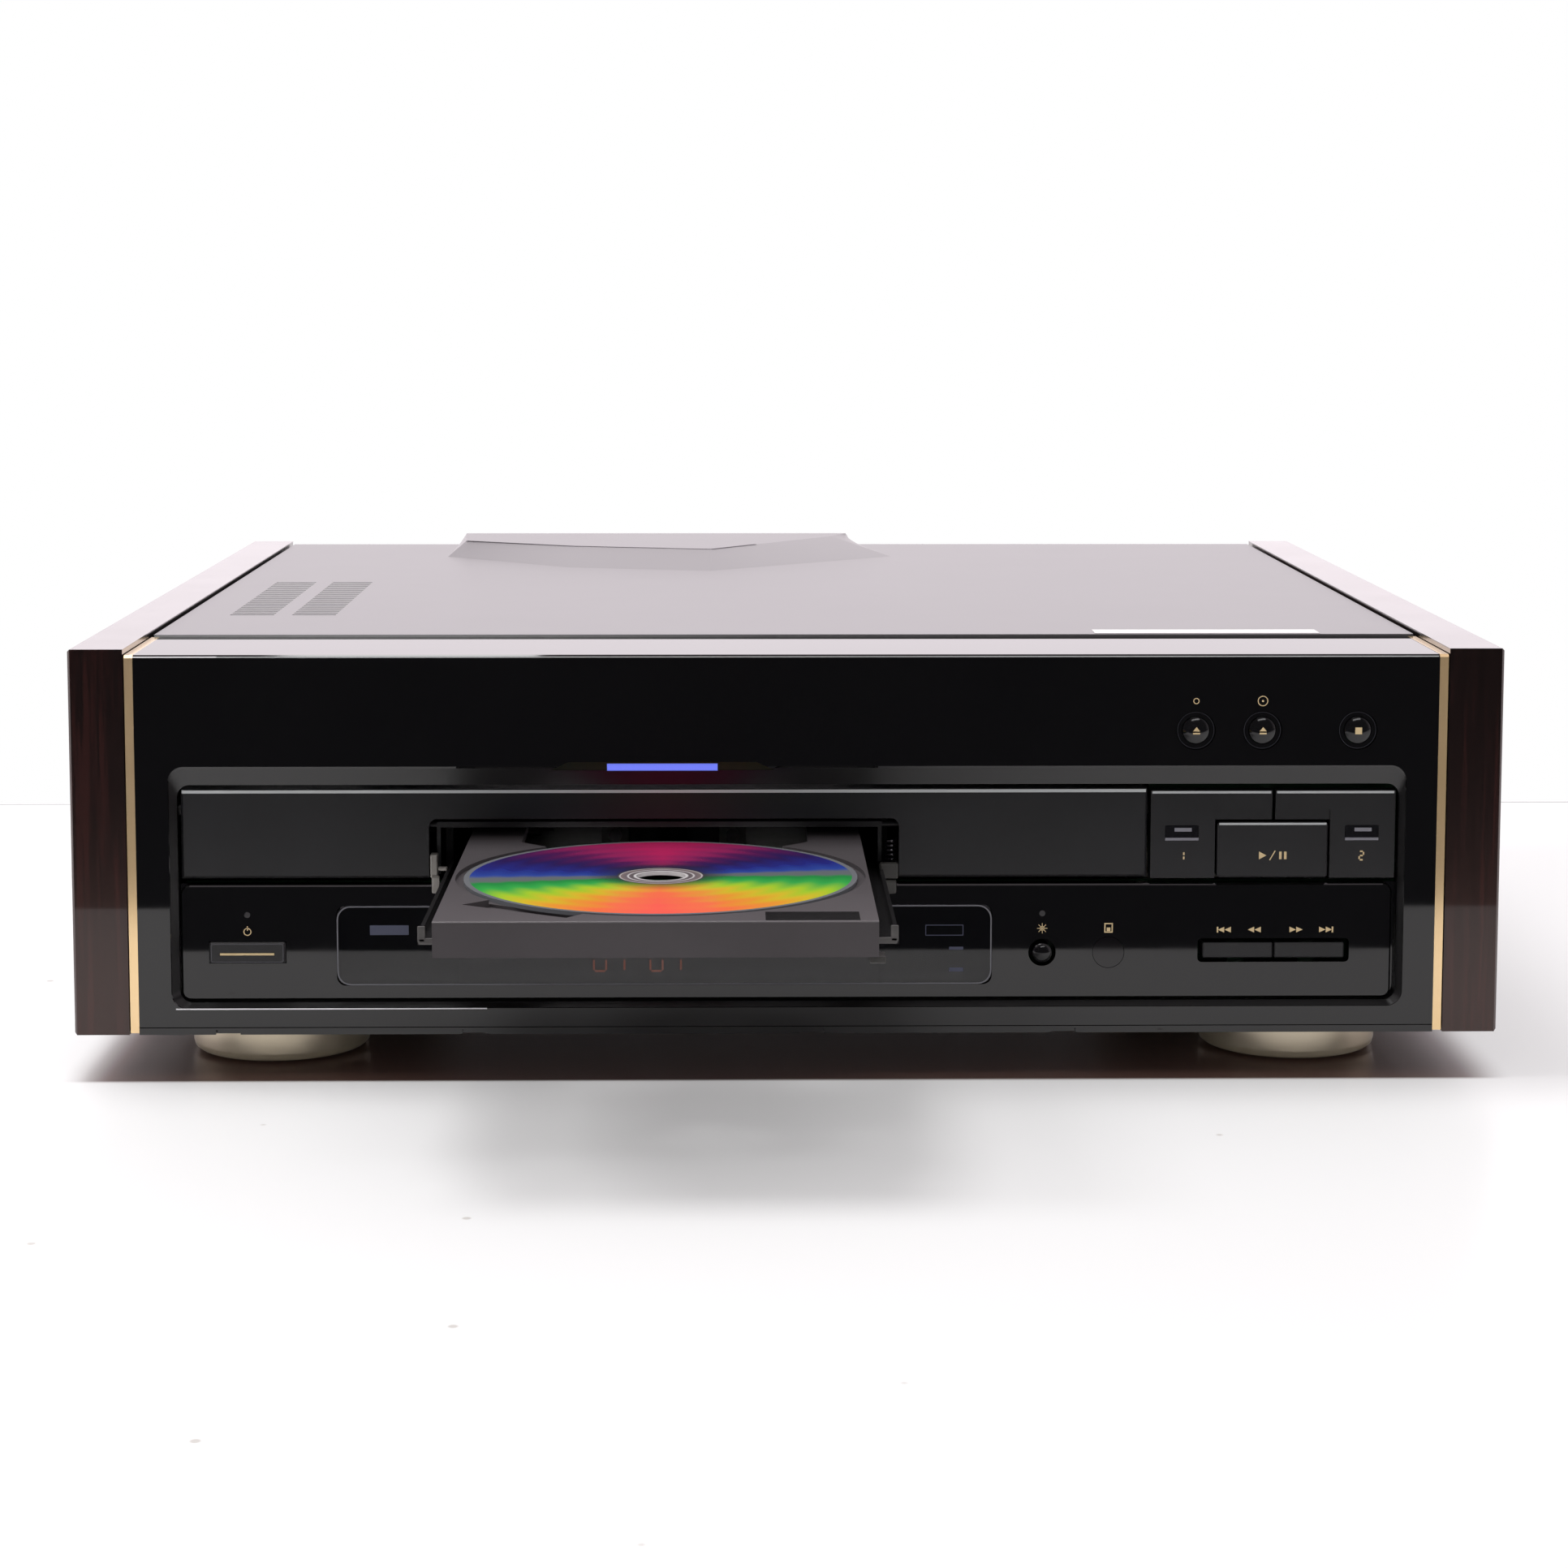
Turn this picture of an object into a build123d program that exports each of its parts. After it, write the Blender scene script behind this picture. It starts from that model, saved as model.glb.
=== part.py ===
"""Laserdisc player with a large drawer and, inside it, a small disc tray that stands open.

Millimetres. X is to the right as the front is seen, Y to the back, Z up. The origin is on the
surface that the player stands on, in the middle of the space that it takes up with the small tray
open. Depths are counted back from the front face, and heights from the standing surface.
"""
import math
import os
from dataclasses import dataclass

from build123d import *

# ---------------------------------------------------------------- driving dimensions
# Cabinet
cheek_thickness = 17.8
cheek_gap = 0.4
cheek_height = 126.3
cheek_edge = 0.8
cabinet_depth = 412.6
ground_clearance = 15.5
trim_thickness = 2.8
trim_drop = 0.6
margin_left = 10.6
margin_right = 10.2
panel_drop = 1.9
panel_skin = 2.5
panel_face = 6.0
panel_depth = 51.5
panel_chamfer = 0.9

# Recess in the front
recess_rise = 8.6
recess_depth = 3.0
recess_lip = 6.4
recess_left_slope = 2.4
recess_right_slope = 1.7
recess_bottom_slope = 1.5
recess_corner = 5.0
recess_gap_left = 3.5
recess_gap_right = 2.8
lip_gap = 1.5
flange_reach = 3.0
flange_thickness = 1.5
hood_rise = 1.4
hood_width = 61.0
hood_slope = 6.0

# Lower fascia and what sits in it
fascia_rise = 2.2
fascia_height = 38.0
fascia_corner = 3.0
fascia_gap = 2.2
fascia_overlap_left = 0.6
fascia_overlap_right = 0.5
window_left = -147.0
window_width = 213.7
window_rise = 4.7
window_height = 26.5
window_corner = 3.0
window_flange = 2.0
tube_width = 138.0
tube_height = 30.0
tube_depth = 6.0
tube_x = -39.0
power_x = -175.9
power_rise = 15.8
power_width = 24.8
power_height = 7.0
lamp_small_radius = 1.0
lamp_small_rise = 28.1
display_button_x = 83.1
display_button_radius = 3.15
display_hole_radius = 4.5
sensor_x = 104.8
sensor_radius = 5.1
rocker_x = 158.85
rocker_width = 46.3
rocker_height = 5.0
rocker_slot_width = 49.7
rocker_slot_height = 7.9
rocker_seam = 0.5

# Drawer front, hatch and keys
drawer_width = 313.9
drawer_height = 29.2
drawer_skin = 3.0
drawer_return = 9.0
drawer_wall = 2.0
drawer_chamfer = 0.8
key_gap = 1.2
key_a_width = 39.6
key_b_width = 39.1
key_seam = 1.1
key_thickness = 5.0
play_width = 36.0
play_height = 18.2
play_gap = 0.8
play_step = 4.2
step_depth = 0.5
key_window_width = 11.1
key_window_height = 5.2
key_window_drop = 11.4
hatch_width = 152.8
hatch_height = 19.6
hatch_corner = 3.0
press_travel = 0.8
button_x_small = 132.1
button_x_large = 153.7
button_x_stop = 184.7
button_drop = 24.8
button_radius = 4.3
ring_radius = 6.25
ring_wall = 1.7
lamp_width = 35.7
lamp_height = 2.1
lamp_x = -40.75
lamp_drop = 35.7
lamp_depth = 7.0

# Discs and trays
small_disc_diameter = 120.0
small_disc_hole = 15.0
disc_thickness = 1.2
large_disc_diameter = 301.0
disc_margin = 0.7
large_rim = 2.35
large_floor = 2.5
large_rim_rise = 4.6
large_floor_height = 85.4
travel_reserve = 112.6
rack_spare = 8.0
tray_reach = 132.0
disc_setback = 70.0
spindle_depth = 162.0
small_tray_width = 127.0
small_tray_top = 79.5
small_tray_skin = 3.2
small_front_height = 10.5
small_wall = 2.0
small_recess_margin = 2.5
small_recess_depth = 1.3
inner_recess_radius = 41.0
inner_recess_depth = 0.9
arm_end = 126.0
arm_inset = 16.0
slot_half_width = 22.0
notch_half_width = 37.5
runner_overhang = 7.3
runner_height = 3.6
runner_wall = 1.2
runner_start = 32.0
runner_drop = 13.4
channel_lip = 1.0
channel_wall = 2.4
running_gap = 0.3
fit_gap = 0.15
pin_gap = 0.05

# Gears, belt and motors
gear_module = 1.5
pressure_angle = 20.0
addendum = 0.8
dedendum = 1.0
backlash = 0.2
drive_teeth = 22
tray_teeth = 14
rack_height = 4.0
gear_height = 4.5
gear_depth = 38.0
tray_pinion_depth = 112.0
pulley_radius = 15.4
motor_pulley_radius = 3.6
belt_size = 1.6
pulley_height = 5.0
belt_height = 61.0
motor_x = 176.0
motor_depth = 62.0
motor_radius = 12.0
motor_length = 30.0
shaft_radius = 2.5

# Disc mechanism
frame_width = 140.0
frame_lead = 34.0
frame_margin = 4.0
frame_height = 43.0
frame_thickness = 3.0
frame_rim = 5.0
post_radius = 3.0
post_inset = 9.0
lift_height = 15.5
spindle_motor_radius = 24.0
spindle_motor_height = 14.0
turntable_radius = 18.0
turntable_thickness = 3.0
turntable_top = 63.3
cone_height = 2.2
rod_radius = 2.5
rod_spacing = 44.0
rod_height = 52.0
carriage_length = 40.0
carriage_height = 12.0
pickup_inner = 25.0
lens_setback = 14.0
rod_overrun = 2.0
pickup_outer = 145.0
lens_radius = 4.0
clamper_radius = 19.0
clamper_height = 6.0
clamper_bottom = 93.2
clamp_arm_thickness = 2.0
clamp_pivot_setback = 43.0
clamp_pivot_radius = 2.0
clamp_arm_width = 46.0
clamp_arm_lead = 24.0
clamp_arm_corner = 8.0
clamp_head_radius = 26.0
clamp_arm_slot = 20.0
clamp_eye_wall = 2.0
clamp_hole = 11.0

# Chassis, cover and back
sheet = 1.2
chassis_lift = 2.0
chassis_step = 2.0
cover_side_gap = 1.2
cover_start_gap = 0.3
cover_overhang = 9.0
rear_inset = 11.6
vent_x = -189.1
vent_pitch = 22.0
vent_width = 15.5
vent_depth = 112.0
vent_length = 124.0
vent_rows = 24
vent_slot = 2.4
hump_left = -136.4
hump_right = 32.8
hump_knee = -85.0
hump_tip = -27.0
hump_shoulder = 26.0
hump_reach = 82.4
hump_reach_left = 39.7
hump_reach_knee = 67.0
hump_reach_right = 16.0
hump_slope = 46.0
hump_spread = 24.0
hump_flank = 3.1
hump_height = 4.9
rail_thickness = 2.0
rail_offset = 4.8
rail_lip = 2.2
rail_start = 20.0
rail_setback = 9.0
tray_flange = 3.2
tray_flange_thickness = 2.0
tray_flange_rise = 5.4

# Feet
foot_radius = 29.8
foot_x = 171.8
foot_setback = 52.5
pad_radius = 25.0
pad_thickness = 1.5
pad_reveal = 0.8

# Boards and fittings
board_thickness = 1.6
front_board_depth = 16.0
switch_side = 6.0
switch_height = 3.5
stem_radius = 2.0
jack_radius = 4.15
jack_length = 9.0
jack_spacing = 14.0
jack_collar = 0.5
jack_pin_radius = 1.6
jack_block = 12.0
jack_pitch = 16.8
jack_block_margin = 9.0
power_board_lead = 40.0
chip_side = 20.0
chip_height = 3.0
power_board_setback = 34.0
transformer_setback = 78.0
core_width = 48.0
core_length = 40.0
core_height = 34.0
coil_inset = 6.0
capacitor_radius = 8.0
capacitor_height = 25.0
capacitor_pitch = 23.0
capacitor_setback = 50.0
sink_setback = 16.0
sink_width = 52.0
sink_height = 28.0
sink_web = 2.0
fin_length = 14.0
fin_thickness = 1.6
screw_radius = 2.0
screw_head_radius = 3.6
screw_head = 2.2

# ---------------------------------------------------------------- places worked out from them
front_y = (tray_reach - cabinet_depth) / 2
cabinet_width = (
    2 * (cheek_thickness + cheek_gap + trim_thickness)
    + margin_left + recess_gap_left + drawer_width + key_gap
    + key_a_width + key_seam + key_b_width + recess_gap_right + margin_right
)
cheek_inner = cabinet_width / 2 - cheek_thickness
trim_outer = cheek_inner - cheek_gap
panel_side = trim_outer - trim_thickness
base = ground_clearance
cheek_top = base + cheek_height
panel_top = cheek_top - panel_drop

recess_left = -panel_side + margin_left
recess_right = panel_side - margin_right
recess_bottom = base + recess_rise
fascia_bottom = recess_bottom + fascia_rise
fascia_top = fascia_bottom + fascia_height
drawer_bottom = fascia_top + fascia_gap
drawer_top = drawer_bottom + drawer_height
lip_inner = drawer_top + lip_gap
recess_top = lip_inner + recess_lip
drawer_left = recess_left + recess_gap_left
drawer_right = drawer_left + drawer_width
key_a_left = drawer_right + key_gap
key_a_right = key_a_left + key_a_width
key_b_left = key_a_right + key_seam
key_b_right = key_b_left + key_b_width
key_middle = (key_a_right + key_b_left) / 2
mech_x = (drawer_left + drawer_right) / 2
inner_left = recess_left + recess_left_slope
inner_right = recess_right - recess_right_slope
inner_bottom = recess_bottom + recess_bottom_slope
inner_corner = recess_corner - 1.0
fascia_back = recess_depth + drawer_skin
fascia_left = drawer_left - fascia_overlap_left
fascia_right = key_b_right - fascia_overlap_right
hatch_left = mech_x - hatch_width / 2 - 0.3
hatch_right = hatch_left + hatch_width

large_recess_radius = large_disc_diameter / 2 + disc_margin
large_half_width = large_recess_radius + large_rim
large_front = recess_depth + drawer_skin
large_travel = cabinet_depth - travel_reserve
large_back = gear_depth + large_travel + rack_spare
disc_depth = -tray_reach + disc_setback
small_half_width = small_tray_width / 2
small_bottom = small_tray_top - small_tray_skin
small_front_bottom = small_tray_top - small_front_height
runner_bottom = small_tray_top - runner_drop
runner_outer = small_half_width + runner_overhang
lip_top = runner_bottom - running_gap
lip_bottom = lip_top - channel_lip
channel_inner = runner_outer + running_gap
small_recess_radius = small_disc_diameter / 2 + small_recess_margin
disc_bottom = small_tray_top - small_recess_depth

chassis_bottom = base + chassis_lift
chassis_floor = chassis_bottom + sheet
chassis_side = panel_side - chassis_step
cover_bottom = panel_top + 0.8 - sheet
cover_top = cover_bottom + sheet
cover_side = cheek_inner - cover_side_gap
rear_depth = cabinet_depth - rear_inset
cover_back = rear_depth + cover_overhang
clamp_pivot_depth = rear_depth - clamp_pivot_setback
rail_end = rear_depth - rail_setback


# ---------------------------------------------------------------- helpers
@dataclass(frozen=True)
class Shaft:
    """An upright axis, by its place across and its depth behind the front."""

    x: float
    depth: float


def upright(depth):
    """Plane that faces the viewer, this far behind the front face: its axes are X and height."""
    return Plane(origin=(0, front_y + depth, 0), x_dir=(1, 0, 0), z_dir=(0, -1, 0))


def level(height):
    """Horizontal plane at a height: its axes are X and depth."""
    return Plane(origin=(0, front_y, height))


def level_at(x, depth, height):
    """Horizontal plane at a height, with its origin on an upright axis."""
    return Plane(origin=(x, front_y + depth, height))


def crosswise(x):
    """Plane across the width that faces +X: its axes are depth and height."""
    return Plane(origin=(x, front_y, 0), x_dir=(0, 1, 0), z_dir=(1, 0, 0))


def span(low_x, high_x, low_y, high_y, radius=0.0):
    """Draw a rectangle, or a rounded one, from its limits in the sketch at hand."""
    with Locations(((low_x + high_x) / 2, (low_y + high_y) / 2)):
        if radius > 0:
            RectangleRounded(high_x - low_x, high_y - low_y, radius)
        else:
            Rectangle(high_x - low_x, high_y - low_y)


def disc_at(x, y, radius):
    """Draw a circle at a place in the sketch at hand."""
    with Locations((x, y)):
        Circle(radius)


def finish(builder, label):
    """Name a finished piece and write it."""
    builder.part.label = label
    export_step(builder.part, "parts/" + label + ".step")


def involute_points(base_radius, tip_radius, half_angle, steps=3):
    """Points along one flank, from its root to its tip, for a tooth that points along +X."""
    points = []
    for step in range(steps + 1):
        radius = base_radius + (tip_radius - base_radius) * step / steps
        roll = math.sqrt(max((radius / base_radius) ** 2 - 1, 0))
        spread = half_angle - (roll - math.atan(roll))
        points.append((radius * math.cos(spread), radius * math.sin(spread)))
    return points


def gear_outline(teeth, turn=0.0):
    """Closed outline of a spur gear whose first tooth is turned by so many degrees."""
    pitch_radius = gear_module * teeth / 2
    angle = math.radians(pressure_angle)
    base_radius = pitch_radius * math.cos(angle)
    tip_radius = pitch_radius + addendum * gear_module
    root_radius = pitch_radius - dedendum * gear_module
    inv = math.tan(angle) - angle
    half = math.pi / 2 / teeth - backlash / 2 / pitch_radius + inv
    flank = involute_points(base_radius, tip_radius, half)
    outline = []
    for tooth in range(teeth):
        middle = math.radians(turn) + 2 * math.pi * tooth / teeth
        root = (root_radius * math.cos(half), root_radius * math.sin(half))
        lower = [(x, -y) for x, y in [root] + flank]
        upper = list(reversed([root] + flank))
        for x, y in lower + upper:
            outline.append((
                x * math.cos(middle) - y * math.sin(middle),
                x * math.sin(middle) + y * math.cos(middle),
            ))
    return outline


def rack_teeth(pitch_line, root_line, first, last, meets):
    """Outline of a toothed strip along the depth, with a gap's middle at the depth it meets.

    The teeth point away from root_line, past pitch_line.
    """
    side = 1 if pitch_line > root_line else -1
    pitch = math.pi * gear_module
    slope = math.tan(math.radians(pressure_angle))
    tip_line = pitch_line + side * addendum * gear_module
    half_pitch_line = pitch / 4 - backlash / 2
    half_tip = half_pitch_line - addendum * gear_module * slope
    half_root = half_pitch_line + abs(pitch_line - root_line) * slope
    count_low = math.ceil((first + half_root - meets) / pitch - 0.5)
    count_high = math.floor((last - half_root - meets) / pitch - 0.5)
    outline = [(root_line, first)]
    for index in range(count_low, count_high + 1):
        middle = meets + (index + 0.5) * pitch
        outline.append((root_line, middle - half_root))
        outline.append((tip_line, middle - half_tip))
        outline.append((tip_line, middle + half_tip))
        outline.append((root_line, middle + half_root))
    outline.append((root_line, last))
    return outline


os.makedirs("parts", exist_ok=True)

# ================================================================ cabinet
# Lacquered wood cheeks
screw_depths = (90.0, 230.0, rear_depth - 31.0)
side_screw_height = base + 52.0
side_screw_reach = 11.0


def cheek(side):
    """One cheek, on the right for side 1 and on the left for side -1."""
    with BuildPart() as panel:
        with BuildSketch(crosswise(side * cheek_inner)):
            span(0, cabinet_depth, base, cheek_top)
        extrude(amount=side * cheek_thickness)
        outer = panel.faces().sort_by(Axis.X)[-1 if side > 0 else 0]
        chamfer(outer.edges(), cheek_edge)
        with BuildSketch(crosswise(side * cheek_inner)):
            with Locations([(depth, side_screw_height) for depth in screw_depths]):
                Circle(screw_radius + pin_gap)
        extrude(amount=side * side_screw_reach, mode=Mode.SUBTRACT)
    return panel


finish(cheek(-1), "left_side_panel")
finish(cheek(1), "right_side_panel")

# Gold strips between the cheeks and the front
trim_bottom = base + trim_drop
trim_leg = 10.0


def trim(side):
    """One strip: up the front and back over the top edge."""
    with BuildPart() as strip:
        with BuildSketch(crosswise(side * panel_side)):
            with BuildLine():
                Polyline(
                    (0, trim_bottom), (trim_leg, trim_bottom), (trim_leg, panel_top - trim_leg),
                    (panel_depth, panel_top - trim_leg), (panel_depth, panel_top),
                    (panel_chamfer, panel_top), (0, panel_top - panel_chamfer), close=True,
                )
            make_face()
        extrude(amount=side * trim_thickness)
    return strip.part


with BuildPart() as side_trims:
    add(trim(-1))
    add(trim(1))
finish(side_trims, "side_trims")

# Main front: a face, a top that runs back, two short sides, and the long recess through the face
lamp_bottom = panel_top - lamp_drop - lamp_height
lamp_left = lamp_x - lamp_width / 2
button_height = panel_top - button_drop
button_places = [
    (button_x_small, button_height), (button_x_large, button_height), (button_x_stop, button_height),
]
groove_rise = 2.2
groove_size = 0.6
notch_width = 8.0
notch_height = 1.6
notch_depth = 2.0
with BuildPart() as front_panel:
    with BuildSketch(crosswise(-panel_side)):
        with BuildLine():
            Polyline(
                (0, base), (0, panel_top - panel_chamfer), (panel_chamfer, panel_top),
                (panel_depth, panel_top), (panel_depth, panel_top - panel_skin),
                (panel_face, panel_top - panel_skin), (panel_face, base), close=True,
            )
        make_face()
    extrude(amount=2 * panel_side)
    for side in (-1, 1):
        with BuildSketch(crosswise(side * panel_side)):
            span(0, panel_depth, base, panel_top - panel_chamfer)
        extrude(amount=-side * chassis_step)
    with BuildSketch(upright(0)):
        span(recess_left, recess_right, recess_bottom, recess_top, recess_corner)
    with BuildSketch(upright(recess_depth)):
        span(inner_left, inner_right, inner_bottom, lip_inner, inner_corner)
    loft(mode=Mode.SUBTRACT)
    with BuildSketch(upright(recess_depth)):
        span(inner_left, inner_right, inner_bottom, lip_inner, inner_corner)
    extrude(amount=-panel_face, mode=Mode.SUBTRACT)
    # shallow hood over the long lamp
    with BuildSketch(upright(0)):
        with BuildLine():
            Polyline(
                (lamp_x - hood_width / 2 - hood_slope, recess_top - hood_rise),
                (lamp_x - hood_width / 2, recess_top + hood_rise),
                (lamp_x + hood_width / 2, recess_top + hood_rise),
                (lamp_x + hood_width / 2 + hood_slope, recess_top - hood_rise), close=True,
            )
        make_face()
    extrude(amount=-recess_depth / 3, mode=Mode.SUBTRACT)
    with BuildSketch(upright(0)):
        span(lamp_left - fit_gap, lamp_left + lamp_width + fit_gap,
             lamp_bottom - fit_gap, lamp_bottom + lamp_height + fit_gap)
    extrude(amount=-panel_face, mode=Mode.SUBTRACT)
    with BuildSketch(upright(0)):
        with Locations(button_places):
            Circle(ring_radius + fit_gap)
    extrude(amount=-panel_face, mode=Mode.SUBTRACT)
    with BuildSketch(upright(0)):
        span(-panel_side, panel_side, base + groove_rise, base + groove_rise + groove_size)
    extrude(amount=-groove_size, mode=Mode.SUBTRACT)
    with BuildSketch(upright(0)):
        with Locations([(x, base + notch_height / 2) for x in (-182.2, -102.1, 7.7, 90.0)]):
            Rectangle(notch_width, notch_height)
    extrude(amount=-notch_depth, mode=Mode.SUBTRACT)
finish(front_panel, "front_panel")

with BuildPart() as lamp_lens:
    with BuildSketch(upright(recess_depth / 4)):
        span(lamp_left, lamp_left + lamp_width, lamp_bottom, lamp_bottom + lamp_height)
    extrude(amount=-lamp_depth)
    chamfer(lamp_lens.faces().sort_by(Axis.Y)[0].edges(), 0.3)
finish(lamp_lens, "lamp_lens")

# Lower fascia, flush in the recess, with a flange behind the front's face
window_bottom = fascia_bottom + window_rise
window_top = window_bottom + window_height
window_right = window_left + window_width
control_height = fascia_bottom + power_rise
lamp_places = [
    (power_x, fascia_bottom + lamp_small_rise), (display_button_x, fascia_bottom + lamp_small_rise),
]
display_button_height = fascia_bottom + 15.2
fascia_post_radius = 3.0
fascia_posts = [(-160.0, fascia_top - 6.0), (75.0, fascia_top - 6.0), (190.0, fascia_top - 6.0)]
with BuildPart() as lower_fascia:
    with BuildSketch(upright(recess_depth)):
        span(fascia_left, fascia_right, fascia_bottom, fascia_top, fascia_corner)
    extrude(amount=-drawer_skin)
    chamfer(lower_fascia.faces().sort_by(Axis.Y)[0].edges(), 0.6)
    with BuildSketch(upright(fascia_back)):
        span(inner_left - flange_reach, inner_right + flange_reach,
             inner_bottom - flange_reach, fascia_top)
    extrude(amount=-flange_thickness)
    with BuildSketch(upright(fascia_back)):
        with Locations(fascia_posts):
            Circle(fascia_post_radius)
    extrude(amount=-(front_board_depth - fascia_back))
    with BuildSketch(upright(0)):
        span(window_left, window_right, window_bottom, window_top, window_corner)
        span(power_x - power_width / 2 - fit_gap, power_x + power_width / 2 + fit_gap,
             control_height - power_height / 2 - fit_gap, control_height + power_height / 2 + fit_gap)
        with Locations(lamp_places):
            Circle(lamp_small_radius + pin_gap)
        disc_at(display_button_x, display_button_height, display_hole_radius)
        disc_at(sensor_x, display_button_height, sensor_radius + fit_gap)
        span(rocker_x - rocker_slot_width / 2, rocker_x + rocker_slot_width / 2,
             control_height - rocker_slot_height / 2, control_height + rocker_slot_height / 2, 1.5)
    extrude(amount=-front_board_depth, mode=Mode.SUBTRACT)
finish(lower_fascia, "lower_fascia")

# Smoked lens: a front part in the cut-out and a flange behind it
lens_front = recess_depth - 0.2
flange_back = fascia_back + flange_thickness
with BuildPart() as display_window:
    with BuildSketch(upright(lens_front)):
        span(window_left + fit_gap, window_right - fit_gap,
             window_bottom + fit_gap, window_top - fit_gap, window_corner - fit_gap)
    extrude(amount=-(flange_back - lens_front))
    chamfer(display_window.faces().sort_by(Axis.Y)[0].edges(), 0.4)
    with BuildSketch(upright(flange_back)):
        span(window_left - window_flange, window_right + window_flange,
             window_bottom - window_flange, window_top + window_flange)
    extrude(amount=-flange_thickness / 2)
finish(display_window, "display_window")

tube_front = front_board_depth - tube_depth
tube_bottom = window_bottom - 1.0
with BuildPart() as display_tube:
    with BuildSketch(upright(tube_front)):
        span(tube_x - tube_width / 2, tube_x + tube_width / 2, tube_bottom, tube_bottom + tube_height)
    extrude(amount=-tube_depth)
    chamfer(display_tube.faces().sort_by(Axis.Y)[0].edges(), 0.8)
finish(display_tube, "display_tube")

with BuildPart() as sensor_window:
    with BuildSketch(upright(recess_depth + 0.1)):
        disc_at(sensor_x, display_button_height, sensor_radius)
    extrude(amount=-(front_board_depth - recess_depth - 0.1))
finish(sensor_window, "sensor_window")

with BuildPart() as indicator_lamps:
    with BuildSketch(upright(recess_depth + 0.2)):
        with Locations(lamp_places):
            Circle(lamp_small_radius)
    extrude(amount=-(front_board_depth - recess_depth - 0.2))
finish(indicator_lamps, "indicator_lamps")

# ================================================================ buttons and keys
switch_front = front_board_depth - switch_height
stem_end = switch_front - press_travel - pin_gap


def add_stem(x, height, start):
    """Stem on the back of a button, as far as its switch, with the travel left free."""
    with BuildSketch(upright(start)) as stem:
        disc_at(x, height, stem_radius)
    extrude(stem.sketch, amount=-(stem_end - start))


def round_button(x, height, radius, front, length, crown):
    """Domed round button with a stem behind it."""
    with BuildPart() as button:
        with BuildSketch(upright(front)):
            disc_at(x, height, radius)
        extrude(amount=-length)
        edge = button.faces().sort_by(Axis.Y)[0].edges()
        fillet(edge, crown)
        add_stem(x, height, front + length)
    return button


finish(round_button(button_x_small, button_height, button_radius, 0.2, 7.0, 1.6), "small_eject_button")
finish(round_button(button_x_large, button_height, button_radius, 0.2, 7.0, 1.6), "large_eject_button")
finish(round_button(button_x_stop, button_height, button_radius, 0.2, 7.0, 1.6), "stop_button")
finish(round_button(display_button_x, display_button_height, display_button_radius,
                    recess_depth - 0.6, 6.0, 0.8), "display_button")

with BuildPart() as button_rings:
    with BuildSketch(upright(0.5)):
        with Locations(button_places):
            Circle(ring_radius)
            Circle(ring_radius - ring_wall, mode=Mode.SUBTRACT)
    extrude(amount=-(panel_face - 0.5))
    with BuildSketch(upright(panel_face)):
        with Locations(button_places):
            Circle(ring_radius + 1.2)
            Circle(ring_radius - ring_wall, mode=Mode.SUBTRACT)
    extrude(amount=-1.2)
finish(button_rings, "button_rings")

with BuildPart() as power_button:
    with BuildSketch(upright(recess_depth - 1.2)):
        span(power_x - power_width / 2, power_x + power_width / 2,
             control_height - power_height / 2, control_height + power_height / 2, 0.6)
    extrude(amount=-6.0)
    chamfer(power_button.faces().sort_by(Axis.Y)[0].edges(), 0.5)
    with BuildSketch(upright(0)):
        span(power_x - 9.05, power_x + 9.05, control_height - 0.8, control_height + 0.1)
    extrude(amount=-(recess_depth - 0.8), mode=Mode.SUBTRACT)
    add_stem(power_x, control_height, recess_depth + 4.8)
finish(power_button, "power_button")

key_bottom = drawer_bottom - 0.4
key_top = drawer_top - 0.8
play_left = key_middle - 0.35 - play_width / 2
play_right = play_left + play_width
play_bottom = drawer_bottom - 0.2
play_top = play_bottom + play_height
leg_a_right = play_left - play_gap
leg_b_left = play_right + play_gap
switch_a = ((key_a_left + leg_a_right) / 2, key_bottom + 9.0)
switch_b = ((leg_b_left + key_b_right) / 2, key_bottom + 9.0)


def side_key(outer, inner, leg, window_x, switch):
    """L-shaped key: a bar along the top with a leg down its outer side."""
    with BuildPart() as key:
        with BuildSketch(upright(recess_depth)):
            with BuildLine():
                Polyline(
                    (outer, key_bottom), (outer, key_top), (inner, key_top),
                    (inner, play_top + play_gap), (leg, play_top + play_gap), (leg, key_bottom),
                    close=True,
                )
            make_face()
        extrude(amount=-key_thickness)
        with BuildSketch(upright(recess_depth)):
            span(play_left - play_gap, play_right + play_gap, key_bottom, play_top + play_step)
        extrude(amount=-step_depth, mode=Mode.SUBTRACT)
        with BuildSketch(upright(recess_depth)):
            span(window_x - key_window_width / 2, window_x + key_window_width / 2,
                 key_top - key_window_drop - key_window_height, key_top - key_window_drop, 0.8)
        extrude(amount=-step_depth, mode=Mode.SUBTRACT)
        add_stem(switch[0], switch[1], recess_depth + key_thickness)
    return key


finish(side_key(key_a_left, key_a_right, leg_a_right, 128.4, switch_a), "side_a_key")
finish(side_key(key_b_right, key_b_left, leg_b_left, 187.2, switch_b), "side_b_key")

play_switch = (key_middle, (play_bottom + play_top) / 2)
with BuildPart() as play_key:
    with BuildSketch(upright(recess_depth - 0.6)):
        span(play_left, play_right, play_bottom, play_top, 1.0)
    extrude(amount=-(key_thickness + 0.6))
    chamfer(play_key.faces().sort_by(Axis.Y)[0].edges(), 0.5)
    add_stem(play_switch[0], play_switch[1], recess_depth + key_thickness)
finish(play_key, "play_key")

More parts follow.
